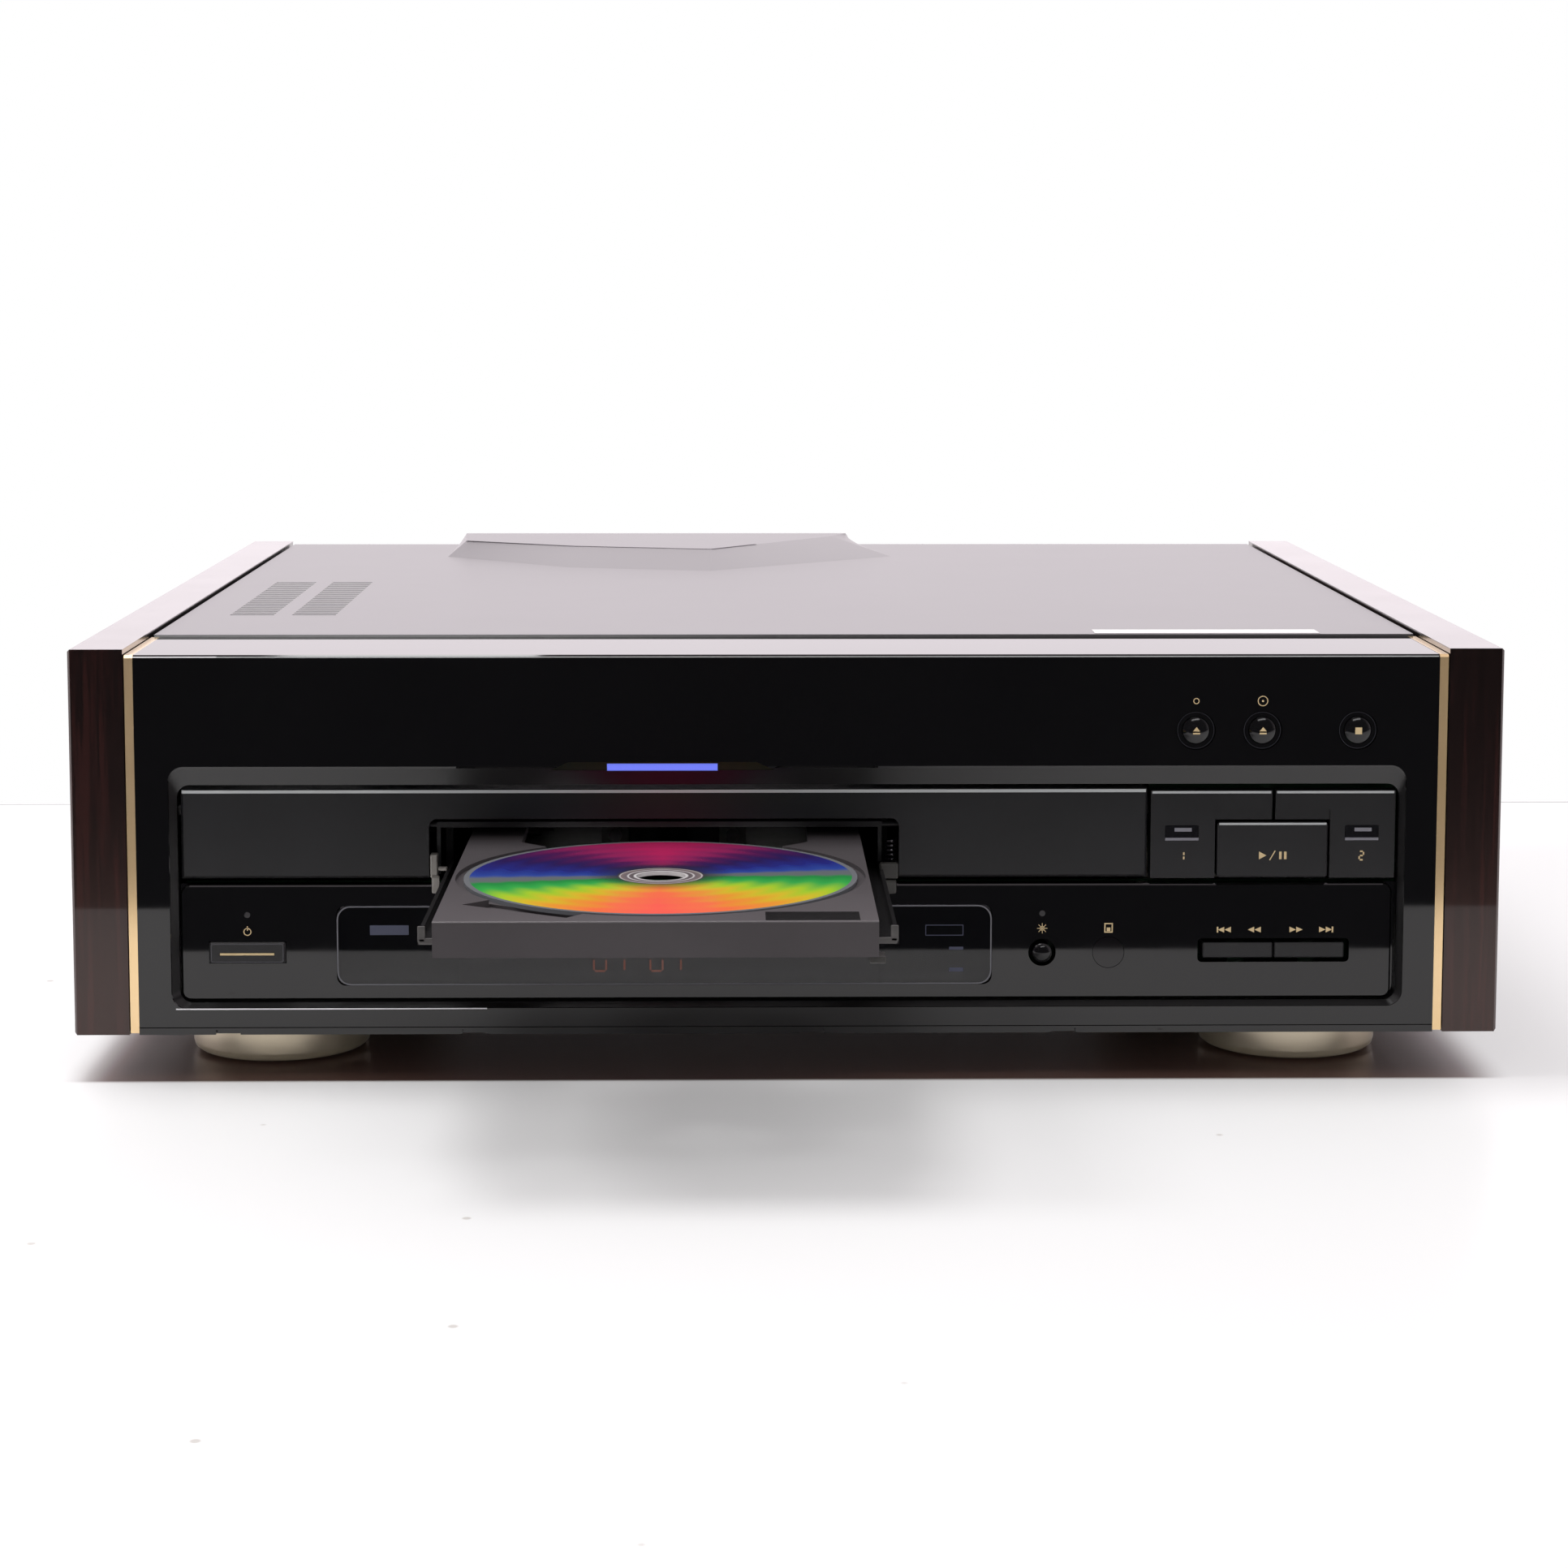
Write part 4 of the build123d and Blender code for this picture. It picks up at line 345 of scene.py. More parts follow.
@dataclass(frozen=True)
class Turned(Finish):
    """Aluminium turned on a lathe: rings round the middle of the piece.

    Real tool marks are too fine to show, so the rings are about six times grain_mm apart.
    """

    centre: tuple[float, float] = (0.0, 0.0)

    def relief(self, tree: Tree, place: Socket) -> Node:
        """Rings on the flat, and bands round the rim."""
        middle = put(tree, "Mapping", {"Vector": place,
                                       "Location": (-self.centre[0], -self.centre[1], 0.0)})
        rings = put(tree, "TexWave", {
            "Vector": middle, "Scale": per_metre(self.grain_mm) / WAVE_TURN, "Distortion": 0.4,
        }, wave_type="RINGS", rings_direction="SPHERICAL")
        return put(tree, "Bump", {"Height": rings.outputs["Fac"],
                                  "Distance": self.relief_mm * MM})


@dataclass(frozen=True)
class Rainbow(Finish):
    """Pressed polycarbonate over metallised tracks, whose fine pitch splits light into colours.

    The fans of colour are fixed on the disc as one light from above and behind throws them: from
    magenta through violet to blue towards the back, and from red through yellow to green in front.
    fans are colours by slope from the middle, and hub are colours by radius.
    """

    centre: tuple[float, float] = (0.0, 0.0)
    radius_mm: float = 60.0
    hub_mm: float = 13.4
    fan_root: float = 0.26
    lean: float = 0.1
    reach: float = 3.0
    arc_mm: float = 8.8
    arc_depth: float = 0.11
    hub_shade: str = "2c2830"
    hub_shade_reach: float = 1.7
    hub_shade_depth: float = 0.75
    rim: str = "6c6e72"
    rim_from: float = 0.972
    fans: tuple[tuple[float, str], ...] = (
        (-3.0, "b0265a"), (-2.2, "ae2559"), (-1.2, "8c2658"), (-0.8, "521d50"), (-0.5, "2c1e54"),
        (-0.25, "262a7a"), (-0.08, "2e4696"), (-0.03, "62686e"), (0.05, "62686a"),
        (0.1, "22843f"), (0.25, "38a44a"), (0.45, "9cc430"), (0.7, "d0b42e"), (1.0, "e29434"),
        (1.6, "f07044"), (3.0, "f4604c"),
    )
    hub: tuple[tuple[float, str], ...] = (
        (7.4, "b8b4b4"), (8.1, "d6d2d2"), (8.5, "5c5456"), (9.7, "6a6062"), (10.0, "dcd8d8"),
        (10.5, "6c6266"), (12.2, "7a6c6a"), (12.5, "cac6c4"), (12.9, "4a4448"), (13.4, "3c383e"),
    )

    def colours(self, tree: Tree, place: Socket) -> Node:
        """Fans of colour round the hub, a grey bar of painted reflection across it, and the silver
        rings of the hub.
        """
        size, hub = self.radius_mm * MM, self.hub_mm * MM
        middle = put(tree, "Mapping", {"Vector": place,
                                       "Location": (-self.centre[0], -self.centre[1], 0.0)})
        flat = put(tree, "VectorMath", {0: middle, 1: (1.0, 1.0, 0.0)}, operation="MULTIPLY")
        parts = put(tree, "SeparateXYZ", {"Vector": flat}).outputs
        radius = put(tree, "VectorMath", {0: flat}, operation="LENGTH")
        x, forward, turn, share = (
            put(tree, "Math", {0: value, 1: by}, operation=operation)
            for value, by, operation in (
                (parts["X"], size, "DIVIDE"), (parts["Y"], -size, "DIVIDE"),
                (radius, 2 * math.pi / (self.arc_mm * MM), "MULTIPLY"),
                (radius, size, "DIVIDE")))
        # tracks are too fine to draw, so a soft wave of the radius lets the colours fall in arcs
        wave = put(tree, "Math", {0: turn}, operation="SINE")
        arcs = put(tree, "Math", {0: wave, 1: self.arc_depth, 2: 1.0}, operation="MULTIPLY_ADD")
        rise = put(tree, "Math", {0: x, 1: self.lean, 2: forward}, operation="MULTIPLY_ADD")
        away = put(tree, "Math", {0: x}, operation="ABSOLUTE")
        run = put(tree, "Math", {0: away, 1: self.fan_root}, operation="ADD")
        fan = put(tree, "Math", {0: rise, 1: run}, operation="DIVIDE")
        fan = put(tree, "Math", {0: fan, 1: arcs}, operation="MULTIPLY")
        fan = put(tree, "MapRange", {"Value": fan, "From Min": -self.reach,
                                     "From Max": self.reach})
        data = put(tree, "ValToRGB", {"Fac": fan}, tuple(
            ((slope + self.reach) / (2 * self.reach), colour) for slope, colour in self.fans))
        rings = put(tree, "ValToRGB", {"Fac": share},
                    tuple((mm / self.radius_mm, colour) for mm, colour in self.hub))
        near = put(tree, "MapRange", {"Value": radius, "From Min": hub,
                                      "From Max": self.hub_shade_reach * hub,
                                      "To Min": self.hub_shade_depth, "To Max": 0.0})
        inside = put(tree, "Math", {0: radius, 1: hub}, operation="LESS_THAN")
        outside = put(tree, "Math", {0: radius, 1: self.rim_from * size},
                      operation="GREATER_THAN")
        for part, cover in ((near, linear(self.hub_shade)), (inside, rings),
                            (outside, linear(self.rim))):
            data = put(tree, "Mix", {"Factor": part, 6: data, 7: cover}, data_type="RGBA")
        return data


# Piano black ABS, moulded and polished: a deep clear gloss with the faintest orange peel
PIANO_BLACK = PianoFront(
    "piano_black_abs", "060606", "080808", 0.03, ior=1.62, grain=Grain.POLISHED, grain_mm=9.0,
    relief_mm=0.0012, gloss_drift=0.4)
# The lower panel is shaded with a slight backward lean, which shifts what it mirrors
FASCIA_BLACK = Finish(
    "piano_black_leaned_abs", "060606", "080808", 0.03, ior=1.62, grain=Grain.POLISHED,
    grain_mm=9.0, relief_mm=0.0012, gloss_drift=0.4, draft=0.032)
# Satin black ABS with a fine spark-eroded grain: light spreads softly, so its top edges show
SATIN_BLACK = Finish("satin_black_abs", "1c1c1e", "181819", 0.36, grain_mm=0.35, relief_mm=0.012)
BUTTON_BLACK = Finish("button_black_abs", "0c0c0e", "101012", 0.12, grain=Grain.POLISHED,
                      grain_mm=5.0, relief_mm=0.002)
ROSEWOOD = Rosewood("lacquered_rosewood", "0f0807", "080403", 0.25, ior=1.56, coat=0.74,
                    grain=Grain.POLISHED, grain_mm=12.0, relief_mm=0.0015)
# Brushed and anodised aluminium strip in pale gold
GOLD_STRIP = Finish("anodised_gold_strip", "ffdfae", "f8d69e", 0.15, metallic=0.68,
                    grain=Grain.BRUSHED_Z, grain_mm=0.25, relief_mm=0.006)
SMOKED_WINDOW = Smoked("smoked_acrylic", "6a6a70", "66666c", 0.02, ior=1.55, grain=Grain.POLISHED,
                       grain_mm=15.0, relief_mm=0.0005, gloss_drift=0.2, draft=0.032)
SENSOR_RED = Finish("dark_filter_polycarbonate", "0b0709", "080607", 0.04, ior=1.6,
                    grain=Grain.POLISHED, grain_mm=8.0, relief_mm=0.0008, draft=0.032)
# Opal acrylic lit from behind by blue lamps
LIT_BLUE = Finish("lit_blue_acrylic", "3a44b8", "424cc4", 0.2, glow="7684f4", glow_strength=0.82,
                  grain=Grain.POLISHED, grain_mm=3.0, relief_mm=0.002)
SMALL_LAMP = Finish("unlit_lamp_polycarbonate", "2c2a2c", "242224", 0.12, grain=Grain.POLISHED,
                    grain_mm=2.0)
DISPLAY_GLASS = Finish("display_tube_glass", "1c1c22", "18181e", 0.12, grain=Grain.POLISHED,
                       grain_mm=20.0, relief_mm=0.001)
SEGMENT = Finish("lit_phosphor", "7a4028", "703820", 0.5, glow="ff7a3c", glow_strength=0.7)
PRINT_GOLD, PRINT_GREY, PRINT_BLUE = (
    Finish(name + "_screen_print", colour, shade, roughness, grain_mm=0.15, relief_mm=0.004)
    for name, colour, shade, roughness in (("gold", "d8c294", "ccb486", 0.42),
                                           ("grey", "7c7c84", "74747a", 0.5),
                                           ("blue_grey", "484c62", "42465a", 0.5)))
KEY_LENS = Finish("smoked_key_lens", "121214", "0e0e10", 0.12, grain=Grain.POLISHED, grain_mm=3.0)
# Charcoal paint, sprayed on pressed steel: a fine orange peel that goes pale at low angles
COVER_PAINT = PressedCover(
    "charcoal_cover_paint", "353236", "322f33", 0.36, ior=1.75, coat=0.62, coat_roughness=0.28,
    grain=Grain.SPRAYED, grain_mm=1.1, relief_mm=0.006, drift_mm=120.0, gloss_drift=0.01)
CREASE_SHADE = Finish("crease_shade_paint", "555057", "504c53", 0.45, grain=Grain.SPRAYED,
                      grain_mm=1.1)
BACK_PAINT = Finish("black_back_paint", "131314", "101011", 0.5, grain=Grain.SPRAYED,
                    grain_mm=0.9, relief_mm=0.015)
TRAY_GREY = Finish("grey_tray_abs", "4a4648", "454143", 0.42, grain_mm=0.45, relief_mm=0.022)
TRAY_BLACK = Finish("black_tray_abs", "151516", "1a1a1b", 0.42, grain_mm=0.45, relief_mm=0.015)
# Slippery acetal for the runners and rails
RUNNER_BLACK = Finish("black_acetal", "242324", "1d1c1d", 0.26, grain=Grain.BRUSHED_Y,
                      grain_mm=0.6)
RUNNER_WORN = Finish("worn_acetal", "5c5a58", "4a4847", 0.4, relief_mm=0.03, drift_mm=4.0)
GEAR_WHITE = Finish("natural_acetal", "dcdad2", "d2cfc6", 0.35, grain_mm=0.6, relief_mm=0.006)
BELT_RUBBER = Finish("belt_rubber", "1a1a1a", "121212", 0.7, grain_mm=0.3, relief_mm=0.02)
PAD_FELT = Finish("pad_felt", "1c1c1e", "262628", 0.95, grain_mm=0.4, relief_mm=0.15)
# Zinc-plated pressed steel, with the drawn lines of the rolled sheet
ZINC = Finish("zinc_plated_steel", "a8aaa6", "9b9e98", 0.34, metallic=1.0, grain=Grain.BRUSHED_Y,
              grain_mm=0.7, relief_mm=0.004, drift_mm=9.0, gloss_drift=0.25)
BRIGHT_STEEL = Finish("ground_steel", "b4b4b6", "a6a6a8", 0.2, metallic=1.0,
                      grain=Grain.BRUSHED_Y, grain_mm=0.3)
BLACK_STEEL = Finish("blackened_screw_steel", "2c2c2e", "232324", 0.35, metallic=1.0,
                     grain_mm=0.4)
CORE_STEEL = Finish("transformer_laminations", "4c4b4a", "3c3b3a", 0.5, metallic=0.7,
                    grain=Grain.BRUSHED_X, relief_mm=0.05)
HEAT_ALLOY = Finish("extruded_aluminium", "c0c2c4", "b2b4b6", 0.32, metallic=1.0,
                    grain=Grain.BRUSHED_Z)
BOARD_GREEN = Finish("board_solder_mask", "1e4a2c", "183e26", 0.3, grain=Grain.BRUSHED_X,
                     grain_mm=1.2, relief_mm=0.03, drift_mm=6.0)
CAP_SLEEVE = Finish("capacitor_sleeve", "16181c", "101216", 0.3, grain=Grain.POLISHED,
                    grain_mm=6.0)
# Painted highlight: thin grey lines where the button rings and the power button's edge catch the
# light
RIM_GLINT = Finish("painted_rim_glint", "3c3c42", "323238", 0.1, grain=Grain.POLISHED, grain_mm=6.0)
# Painted highlight: a grey outline where the display window's bevel catches the light
RIM_HIGHLIGHT = Finish("painted_rim_highlight", "68686e", "5c5c62", 0.08, grain=Grain.POLISHED,
                   grain_mm=6.0, relief_mm=0.002)
# Painted highlight: light grey bars along the top edges of the satin parts and the front panel,
# where they catch the light
EDGE_HIGHLIGHT = Finish("painted_edge_highlight", "b6baba", "aaaeae", 0.3, grain=Grain.BRUSHED_X,
                    grain_mm=0.4, relief_mm=0.004)
# Painted highlight: near-white bars on the front panel's edges, where they catch the light
EDGE_GLINT = Finish("painted_edge_glint", "f4f4f6", "dcdce0", 0.2, grain=Grain.BRUSHED_X,
                   grain_mm=0.4)
SWITCH_BLACK = Finish("switch_nylon", "26262a", "1e1e20", 0.5)
JACK_GOLD = Finish("gold_plated_brass", "e2b85c", "d6a84c", 0.18, metallic=1.0,
                   grain=Grain.BRUSHED_Y, grain_mm=0.2)
INLET_BLACK = Finish("inlet_nylon", "101011", "161617", 0.4, grain_mm=0.4)
PICKUP_DARK = Finish("die_cast_pickup", "5a5c60", "4c4e52", 0.4, metallic=0.8, grain_mm=0.8,
                     relief_mm=0.03)
TURNTABLE_RUBBER = Finish("turntable_rubber", "202022", "181819", 0.6, relief_mm=0.02)
LABEL_BLACK = Finish("blank_black_label", "0c0c0c", "101010", 0.25, grain=Grain.POLISHED,
                     grain_mm=4.0)
LABEL_WHITE = Finish("blank_white_label", "e9e7e6", "e2e0df", 0.5, grain_mm=0.8, relief_mm=0.004)
LEVER_ALLOY = Finish("cast_lever_alloy", "b2aea6", "8e8b86", 0.35, metallic=0.8,
                     grain=Grain.BRUSHED_Z)
GUIDE_GREY = Finish("grey_guide_acetal", "3c3b38", "333230", 0.4, grain_mm=0.6, relief_mm=0.02)
MARK_RED, MARK_WHITE, MARK_YELLOW = (
    Finish(name + "_insulator_nylon", colour, shade, 0.35)
    for name, colour, shade in (("red", "b02a22", "a0241e"), ("white", "dcdad6", "d0ceca"),
                                ("yellow", "d8b02a", "c8a024")))


# ---------------------------------------------------------------- pieces
def dress(finish: Finish, *names: str) -> None:
    """Give CAD nodes their finish.

    Args:
        finish: what they are made of.
        *names: the nodes.
    """
    for name in names:
        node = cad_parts[name]
        for holder in node.material_slots:
            holder.material = finish.material()
        if not node.material_slots:
            node.data.materials.append(finish.material())
        log.info("dressed %s in %s", name, finish.name)


def add_piece(name: str, shape: Shape, finish: Finish, body: str,
              smooth: bool = False) -> None:
    """Turn a finished shape into a piece that rides on a body.

    Args:
        name: the piece's name.
        shape: its bmesh, which is freed.
        finish: what it is made of.
        body: the CAD body that it moves with.
        smooth: whether its faces are shaded smooth.
    """
    mesh = bpy.data.meshes.new(name)
    shape.to_mesh(mesh)
    shape.free()
    mesh.polygons.foreach_set("use_smooth", [smooth] * len(mesh.polygons))
    piece = add_object(name, mesh)
    mesh.materials.append(finish.material())
    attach(piece, body)
    log.info("made %s on %s", name, body)


def at(x: float, depth: float, z: float) -> Matrix:
    """Matrix that moves a shape to a place, given as X, depth and height in millimetres."""
    return Matrix.Translation((x * MM, (FRONT_Y + depth) * MM, z * MM))


def add_blocks(name: str, body: str, finish: Finish, blocks: tuple[Block, ...],
               across: float = 0.0) -> None:
    """Make a piece of one or more blocks.

    Args:
        name: the piece's name.
        body: the CAD body that it moves with.
        finish: what it is made of.
        blocks: each block's lowest and highest corner, as X, depth and height, and how far its
            edges are rounded, all in millimetres.
        across: how far the blocks are moved along X.
    """
    shape = bmesh.new()
    for low, high, edge in blocks:
        size = [(b - a) * MM for a, b in zip(low, high)]
        x, depth, z = ((a + b) / 2 for a, b in zip(low, high))
        made = bmesh.ops.create_cube(
            shape, size=1.0, matrix=at(across + x, depth, z) @ Matrix.Diagonal((*size, 1.0)))
        if edge > 0:
            edges = dict.fromkeys(line for corner in made["verts"] for line in corner.link_edges)
            bmesh.ops.bevel(shape, geom=list(edges), offset=edge * MM, segments=2, profile=0.5,
                            affect="EDGES", material=-1)
    add_piece(name, shape, finish, body)


def corners_of(grown: dict) -> list[bmesh.types.BMVert]:
    """Corners that an extrusion made."""
    return [part for part in grown["geom"] if isinstance(part, bmesh.types.BMVert)]


def add_ring(shape: Shape, inner: float, outer: float, segments: int, matrix: Matrix) -> None:
    """Add a flat ring.

    Args:
        shape: the bmesh that gets it, whose other edges all have faces.
        inner: the hole's radius in millimetres.
        outer: the ring's radius in millimetres.
        segments: how many sides it has.
        matrix: what takes it from the origin to its place.
    """
    made = bmesh.ops.create_circle(shape, segments=segments, radius=inner * MM)
    hole = [edge for edge in shape.edges if edge.is_wire]
    rim = corners_of(bmesh.ops.extrude_edge_only(shape, edges=hole))
    bmesh.ops.scale(shape, vec=(outer / inner, outer / inner, 1.0), verts=rim)
    bmesh.ops.transform(shape, matrix=matrix, verts=made["verts"] + rim)


def thicken(shape: Shape, depth: float) -> None:
    """Give flat faces a thickness towards the front, in millimetres."""
    grown = bmesh.ops.extrude_face_region(shape, geom=list(shape.faces), use_keep_orig=True)
    bmesh.ops.translate(shape, vec=(0.0, -depth * MM, 0.0), verts=corners_of(grown))
    bmesh.ops.recalc_face_normals(shape, faces=list(shape.faces))


class Way(Enum):
    """Which way a printed triangle points."""

    RIGHT = 0.0
    UP = 90.0
    LEFT = 180.0


@dataclass
class FrontPrint:
    """Small marks printed on an upright face that looks forward.

    The places x and z are X and height. They and all sizes are in millimetres.
    """

    name: str
    body: str
    face_depth: float
    finish: Finish = PRINT_GOLD
    slot: str = "gold_anodised"
    thickness: float = 0.05
    shape: Shape = field(default_factory=bmesh.new)

    def _stand(self, x: float, z: float, turn: float = 0.0) -> Matrix:
        """Matrix that stands a flat shape up on the face at a place."""
        return (at(x, self.face_depth - HAIR, z) @ Matrix.Rotation(math.pi / 2, 4, "X")
                @ Matrix.Rotation(math.radians(turn), 4, "Z"))

    def triangle(self, x: float, z: float, long: float, wide: float, way: Way) -> None:
        """Add a triangle of a length and a width that points one way."""
        # in a circle of radius 1, a triangle is 1.5 long and root 3 wide
        stretch = Matrix.Diagonal((long / 1.5 * MM, wide / math.sqrt(3) * MM, 1.0, 1.0))
        bmesh.ops.create_circle(
            self.shape, cap_ends=True, segments=3, radius=1.0, matrix=self._stand(x, z, way.value)
            @ stretch @ Matrix.Rotation(-math.pi / 2, 4, "Z"))

    def bar(self, x: float, z: float, wide: float, high: float, turn: float = 0.0) -> dict:
        """Add a bar, which a turn in degrees leans over, and return what was made."""
        stretch = Matrix.Diagonal((wide * MM, high * MM, 1.0, 1.0))
        return bmesh.ops.create_grid(self.shape, x_segments=1, y_segments=1, size=0.5,
                                     matrix=self._stand(x, z, turn) @ stretch)

    def dot(self, x: float, z: float, radius: float) -> None:
        """Add a round dot."""
        bmesh.ops.create_circle(self.shape, cap_ends=True, segments=24, radius=radius * MM,
                                matrix=self._stand(x, z))

    def frame(self, x: float, z: float, wide: float, high: float, line: float) -> None:
        """Add the outline of a box."""
        for side in (-1, 1):
            self.bar(x, z + side * (high - line) / 2, wide, line)
            self.bar(x + side * (wide - line) / 2, z, line, high - 2 * line)

    def ring(self, x: float, z: float, radius: float, line: float) -> None:
        """Add a thin ring."""
        add_ring(self.shape, radius - line, radius, segments=32, matrix=self._stand(x, z))

    def digit(self, x: float, z: float, high: float, value: int, weight: float = 0.08) -> None:
        """Add a number made of up to seven bars.

        Args:
            x: where its middle is.
            z: how high its middle is.
            high: its height, which is twice its width.
            value: 0, 1, 2 or 7.
            weight: the bars' thickness as a share of the height.
        """
        lit = {0: "abcdef", 1: "bc", 2: "abdeg", 7: "abc"}[value]
        # each bar's place, in half widths and quarter heights from the middle
        places = {"a": (0, 2), "b": (1, 1), "c": (1, -1), "d": (0, -2), "e": (-1, -1),
                  "f": (-1, 1), "g": (0, 0)}
        wide, line = high / 2, high * weight
        for side, level in (places[name] for name in lit):
            size = (line, high / 2 - line) if side else (wide - line, line)
            self.bar(x + side * wide / 2, z + level * high / 4, *size)

    def outline(self, x: float, z: float, wide: float, high: float, corner: float,
                line: float) -> None:
        """Add the outline of a box with round corners.

        Args:
            x: where its middle is.
            z: how high its middle is.
            wide: its width.
            high: its height.
            corner: how far its corners are rounded.
            line: how wide the outline is.
        """
        made = self.bar(x, z, wide, high)
        bmesh.ops.bevel(self.shape, geom=made["verts"], offset=corner * MM, segments=6,
                        profile=0.5, affect="VERTICES", material=-1)
        inner = max(self.shape.faces, key=lambda face: face.calc_area())
        bmesh.ops.inset_region(self.shape, faces=[inner], thickness=line * MM, use_boundary=True,
                               use_even_offset=True)
        bmesh.ops.delete(self.shape, geom=[inner], context="FACES_ONLY")

    def done(self) -> None:
        """Give the marks their thickness and make them a piece."""
        thicken(self.shape, self.thickness)
        add_piece(self.name, self.shape, self.finish, self.body)


def add_bars(name: str, body: str, depth: float, finish: Finish, slot: str, thickness: float,
             bars: tuple[Quad, ...]) -> None:
    """Make a piece of flat bars on an upright face.

    Args:
        name: the piece's name.
        body: the CAD body that it moves with.
        depth: how far the face is behind the front face.
        finish: what it is made of.
        slot: a material slot's name, which is kept but not used.
        thickness: how thick the bars are.
        bars: each bar's X, height of its middle, width and height.
    """
    made = FrontPrint(name, body, depth, finish, slot, thickness)
    for bar in bars:
        made.bar(*bar)
    made.done()


# ---------------------------------------------------------------- sub-assemblies
@dataclass
class Cabinet:
    """Wood cheeks, gold strips, black front, painted cover, back and feet."""

    feet: tuple[str, ...] = ("front_left_foot", "front_right_foot", "rear_left_foot",
                             "rear_right_foot")
    cover_top: float = 140.7
    field_top: float = 145.62
    # left and right edge, and near and far edge by depth
    sticker: Quad = (105.0, 181.5, 53.5, 64.5)
    sticker_thickness: float = 0.12
    crease_width: float = 1.7
    crease_thickness: float = 0.04
    # X and depth of its corners
    crease: tuple[tuple[float, float], ...] = (
        (-133.0, 370.3), (-85.0, 343.4), (-27.0, 328.2), (-8.0, 352.0))
    lip: Block = ((-212.0, 51.3, 139.4), (212.0, 52.0, 140.68), 0.0)
    gleam_thickness: float = 0.03
    # painted highlights as bars: X and height of the middle, width, height
    top_edge: tuple[Quad, ...] = ((0.0, 139.25, 421.0, 0.35),)
    highlight_edges: tuple[Quad, ...] = ((-197.5, 139.3, 27.0, 0.4), (-148.5, 24.0, 101.0, 0.4))
    rear_face: float = 402.2
    jacks_middle: float = 165.0
    jack_pitch: float = 16.8
    jack_rows: tuple[float, float] = (70.5, 84.5)
    insulator_outer: float = 6.2
    insulator_inner: float = 4.75
    insulator_thickness: float = 1.4
    insulator_gap: float = 0.05
    screw_x: tuple[float, ...] = (-195.0, -120.0, -40.0, 40.0, 112.0, 200.0)
    screw_heights: tuple[float, float] = (24.0, 132.0)
    screw_radius: float = 3.2
    screw_flat: float = 2.2
    screw_rise: float = 1.6
    screw_rim: float = 1.1
    screw_sink: float = 0.7

    def dress(self) -> None:
        """Give the cabinet's nodes their finishes."""
        dress(ROSEWOOD, "left_side_panel", "right_side_panel")
        dress(GOLD_STRIP, "side_trims")
        dress(PIANO_BLACK, "front_panel")
        dress(COVER_PAINT, "top_cover")
        dress(BACK_PAINT, "rear_panel")
        dress(ZINC, "bottom_chassis")
        dress(BLACK_STEEL, "case_screws")
        dress(PAD_FELT, "foot_pads")
        dress(JACK_GOLD, "output_jacks")
        dress(INLET_BLACK, "mains_inlet")
        for name in self.feet:
            low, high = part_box(name)
            middle = (low + high) / 2
            dress(Turned("turned_champagne_aluminium_" + name, "e8dcc4", "dccfb4", 0.24,
                         metallic=0.9, grain_mm=0.8, relief_mm=0.008,
                         centre=(middle.x, middle.y)), name)

    def add_sticker(self) -> None:
        """Blank paper sticker on the cover, near its front."""
        left, right, near, far = self.sticker
        add_blocks("cover_sticker", "cabinet", LABEL_WHITE, (
            ((left, near, self.cover_top + HAIR),
             (right, far, self.cover_top + self.sticker_thickness), 0.0),))

    def add_crease(self) -> None:
        """Thin shaded line along the crease in front of the raised field."""
        shape = bmesh.new()
        for (x0, back0), (x1, back1) in zip(self.crease, self.crease[1:]):
            along = Vector((x1 - x0, back1 - back0))
            size = (along.length * MM, self.crease_width * MM, self.crease_thickness * MM, 1.0)
            bmesh.ops.create_cube(
                shape, size=1.0,
                matrix=at((x0 + x1) / 2, (back0 + back1) / 2, self.field_top)
                @ Matrix.Rotation(math.atan2(along.y, along.x), 4, "Z") @ Matrix.Diagonal(size))
        add_piece("cover_crease", shape, CREASE_SHADE, "cabinet")

    def add_edges(self) -> None:
        """Folded lip over the panel's top, and painted highlights: light bars on the panel's top
        edge and under its recess.
        """
        add_blocks("cover_front_lip", "cabinet", COVER_PAINT, (self.lip,))
        add_bars("panel_top_highlight", "cabinet", 0.0, EDGE_HIGHLIGHT, "gloss_black",
                 self.gleam_thickness, self.top_edge)
        add_bars("panel_edge_glints", "cabinet", -self.gleam_thickness, EDGE_GLINT, "gloss_black",
                 self.gleam_thickness, self.highlight_edges)

    def add_insulators(self) -> None:
        """Coloured rings round the jacks: white and red for sound, yellow for pictures."""
        colours = ((MARK_RED, MARK_RED, MARK_YELLOW, MARK_YELLOW),
                   (MARK_WHITE, MARK_WHITE, MARK_YELLOW, MARK_YELLOW))
        depth = self.rear_face + self.insulator_gap + self.insulator_thickness
        for row, finishes in enumerate(colours):
            for column, finish in enumerate(finishes):
                x = self.jacks_middle + (column - (len(finishes) - 1) / 2) * self.jack_pitch
                shape = bmesh.new()
                add_ring(shape, self.insulator_inner, self.insulator_outer, segments=40,
                         matrix=at(x, depth, self.jack_rows[row])
                         @ Matrix.Rotation(math.pi / 2, 4, "X"))
                thicken(shape, self.insulator_thickness)
                add_piece(f"jack_insulator_{row}{column}", shape, finish, "cabinet")

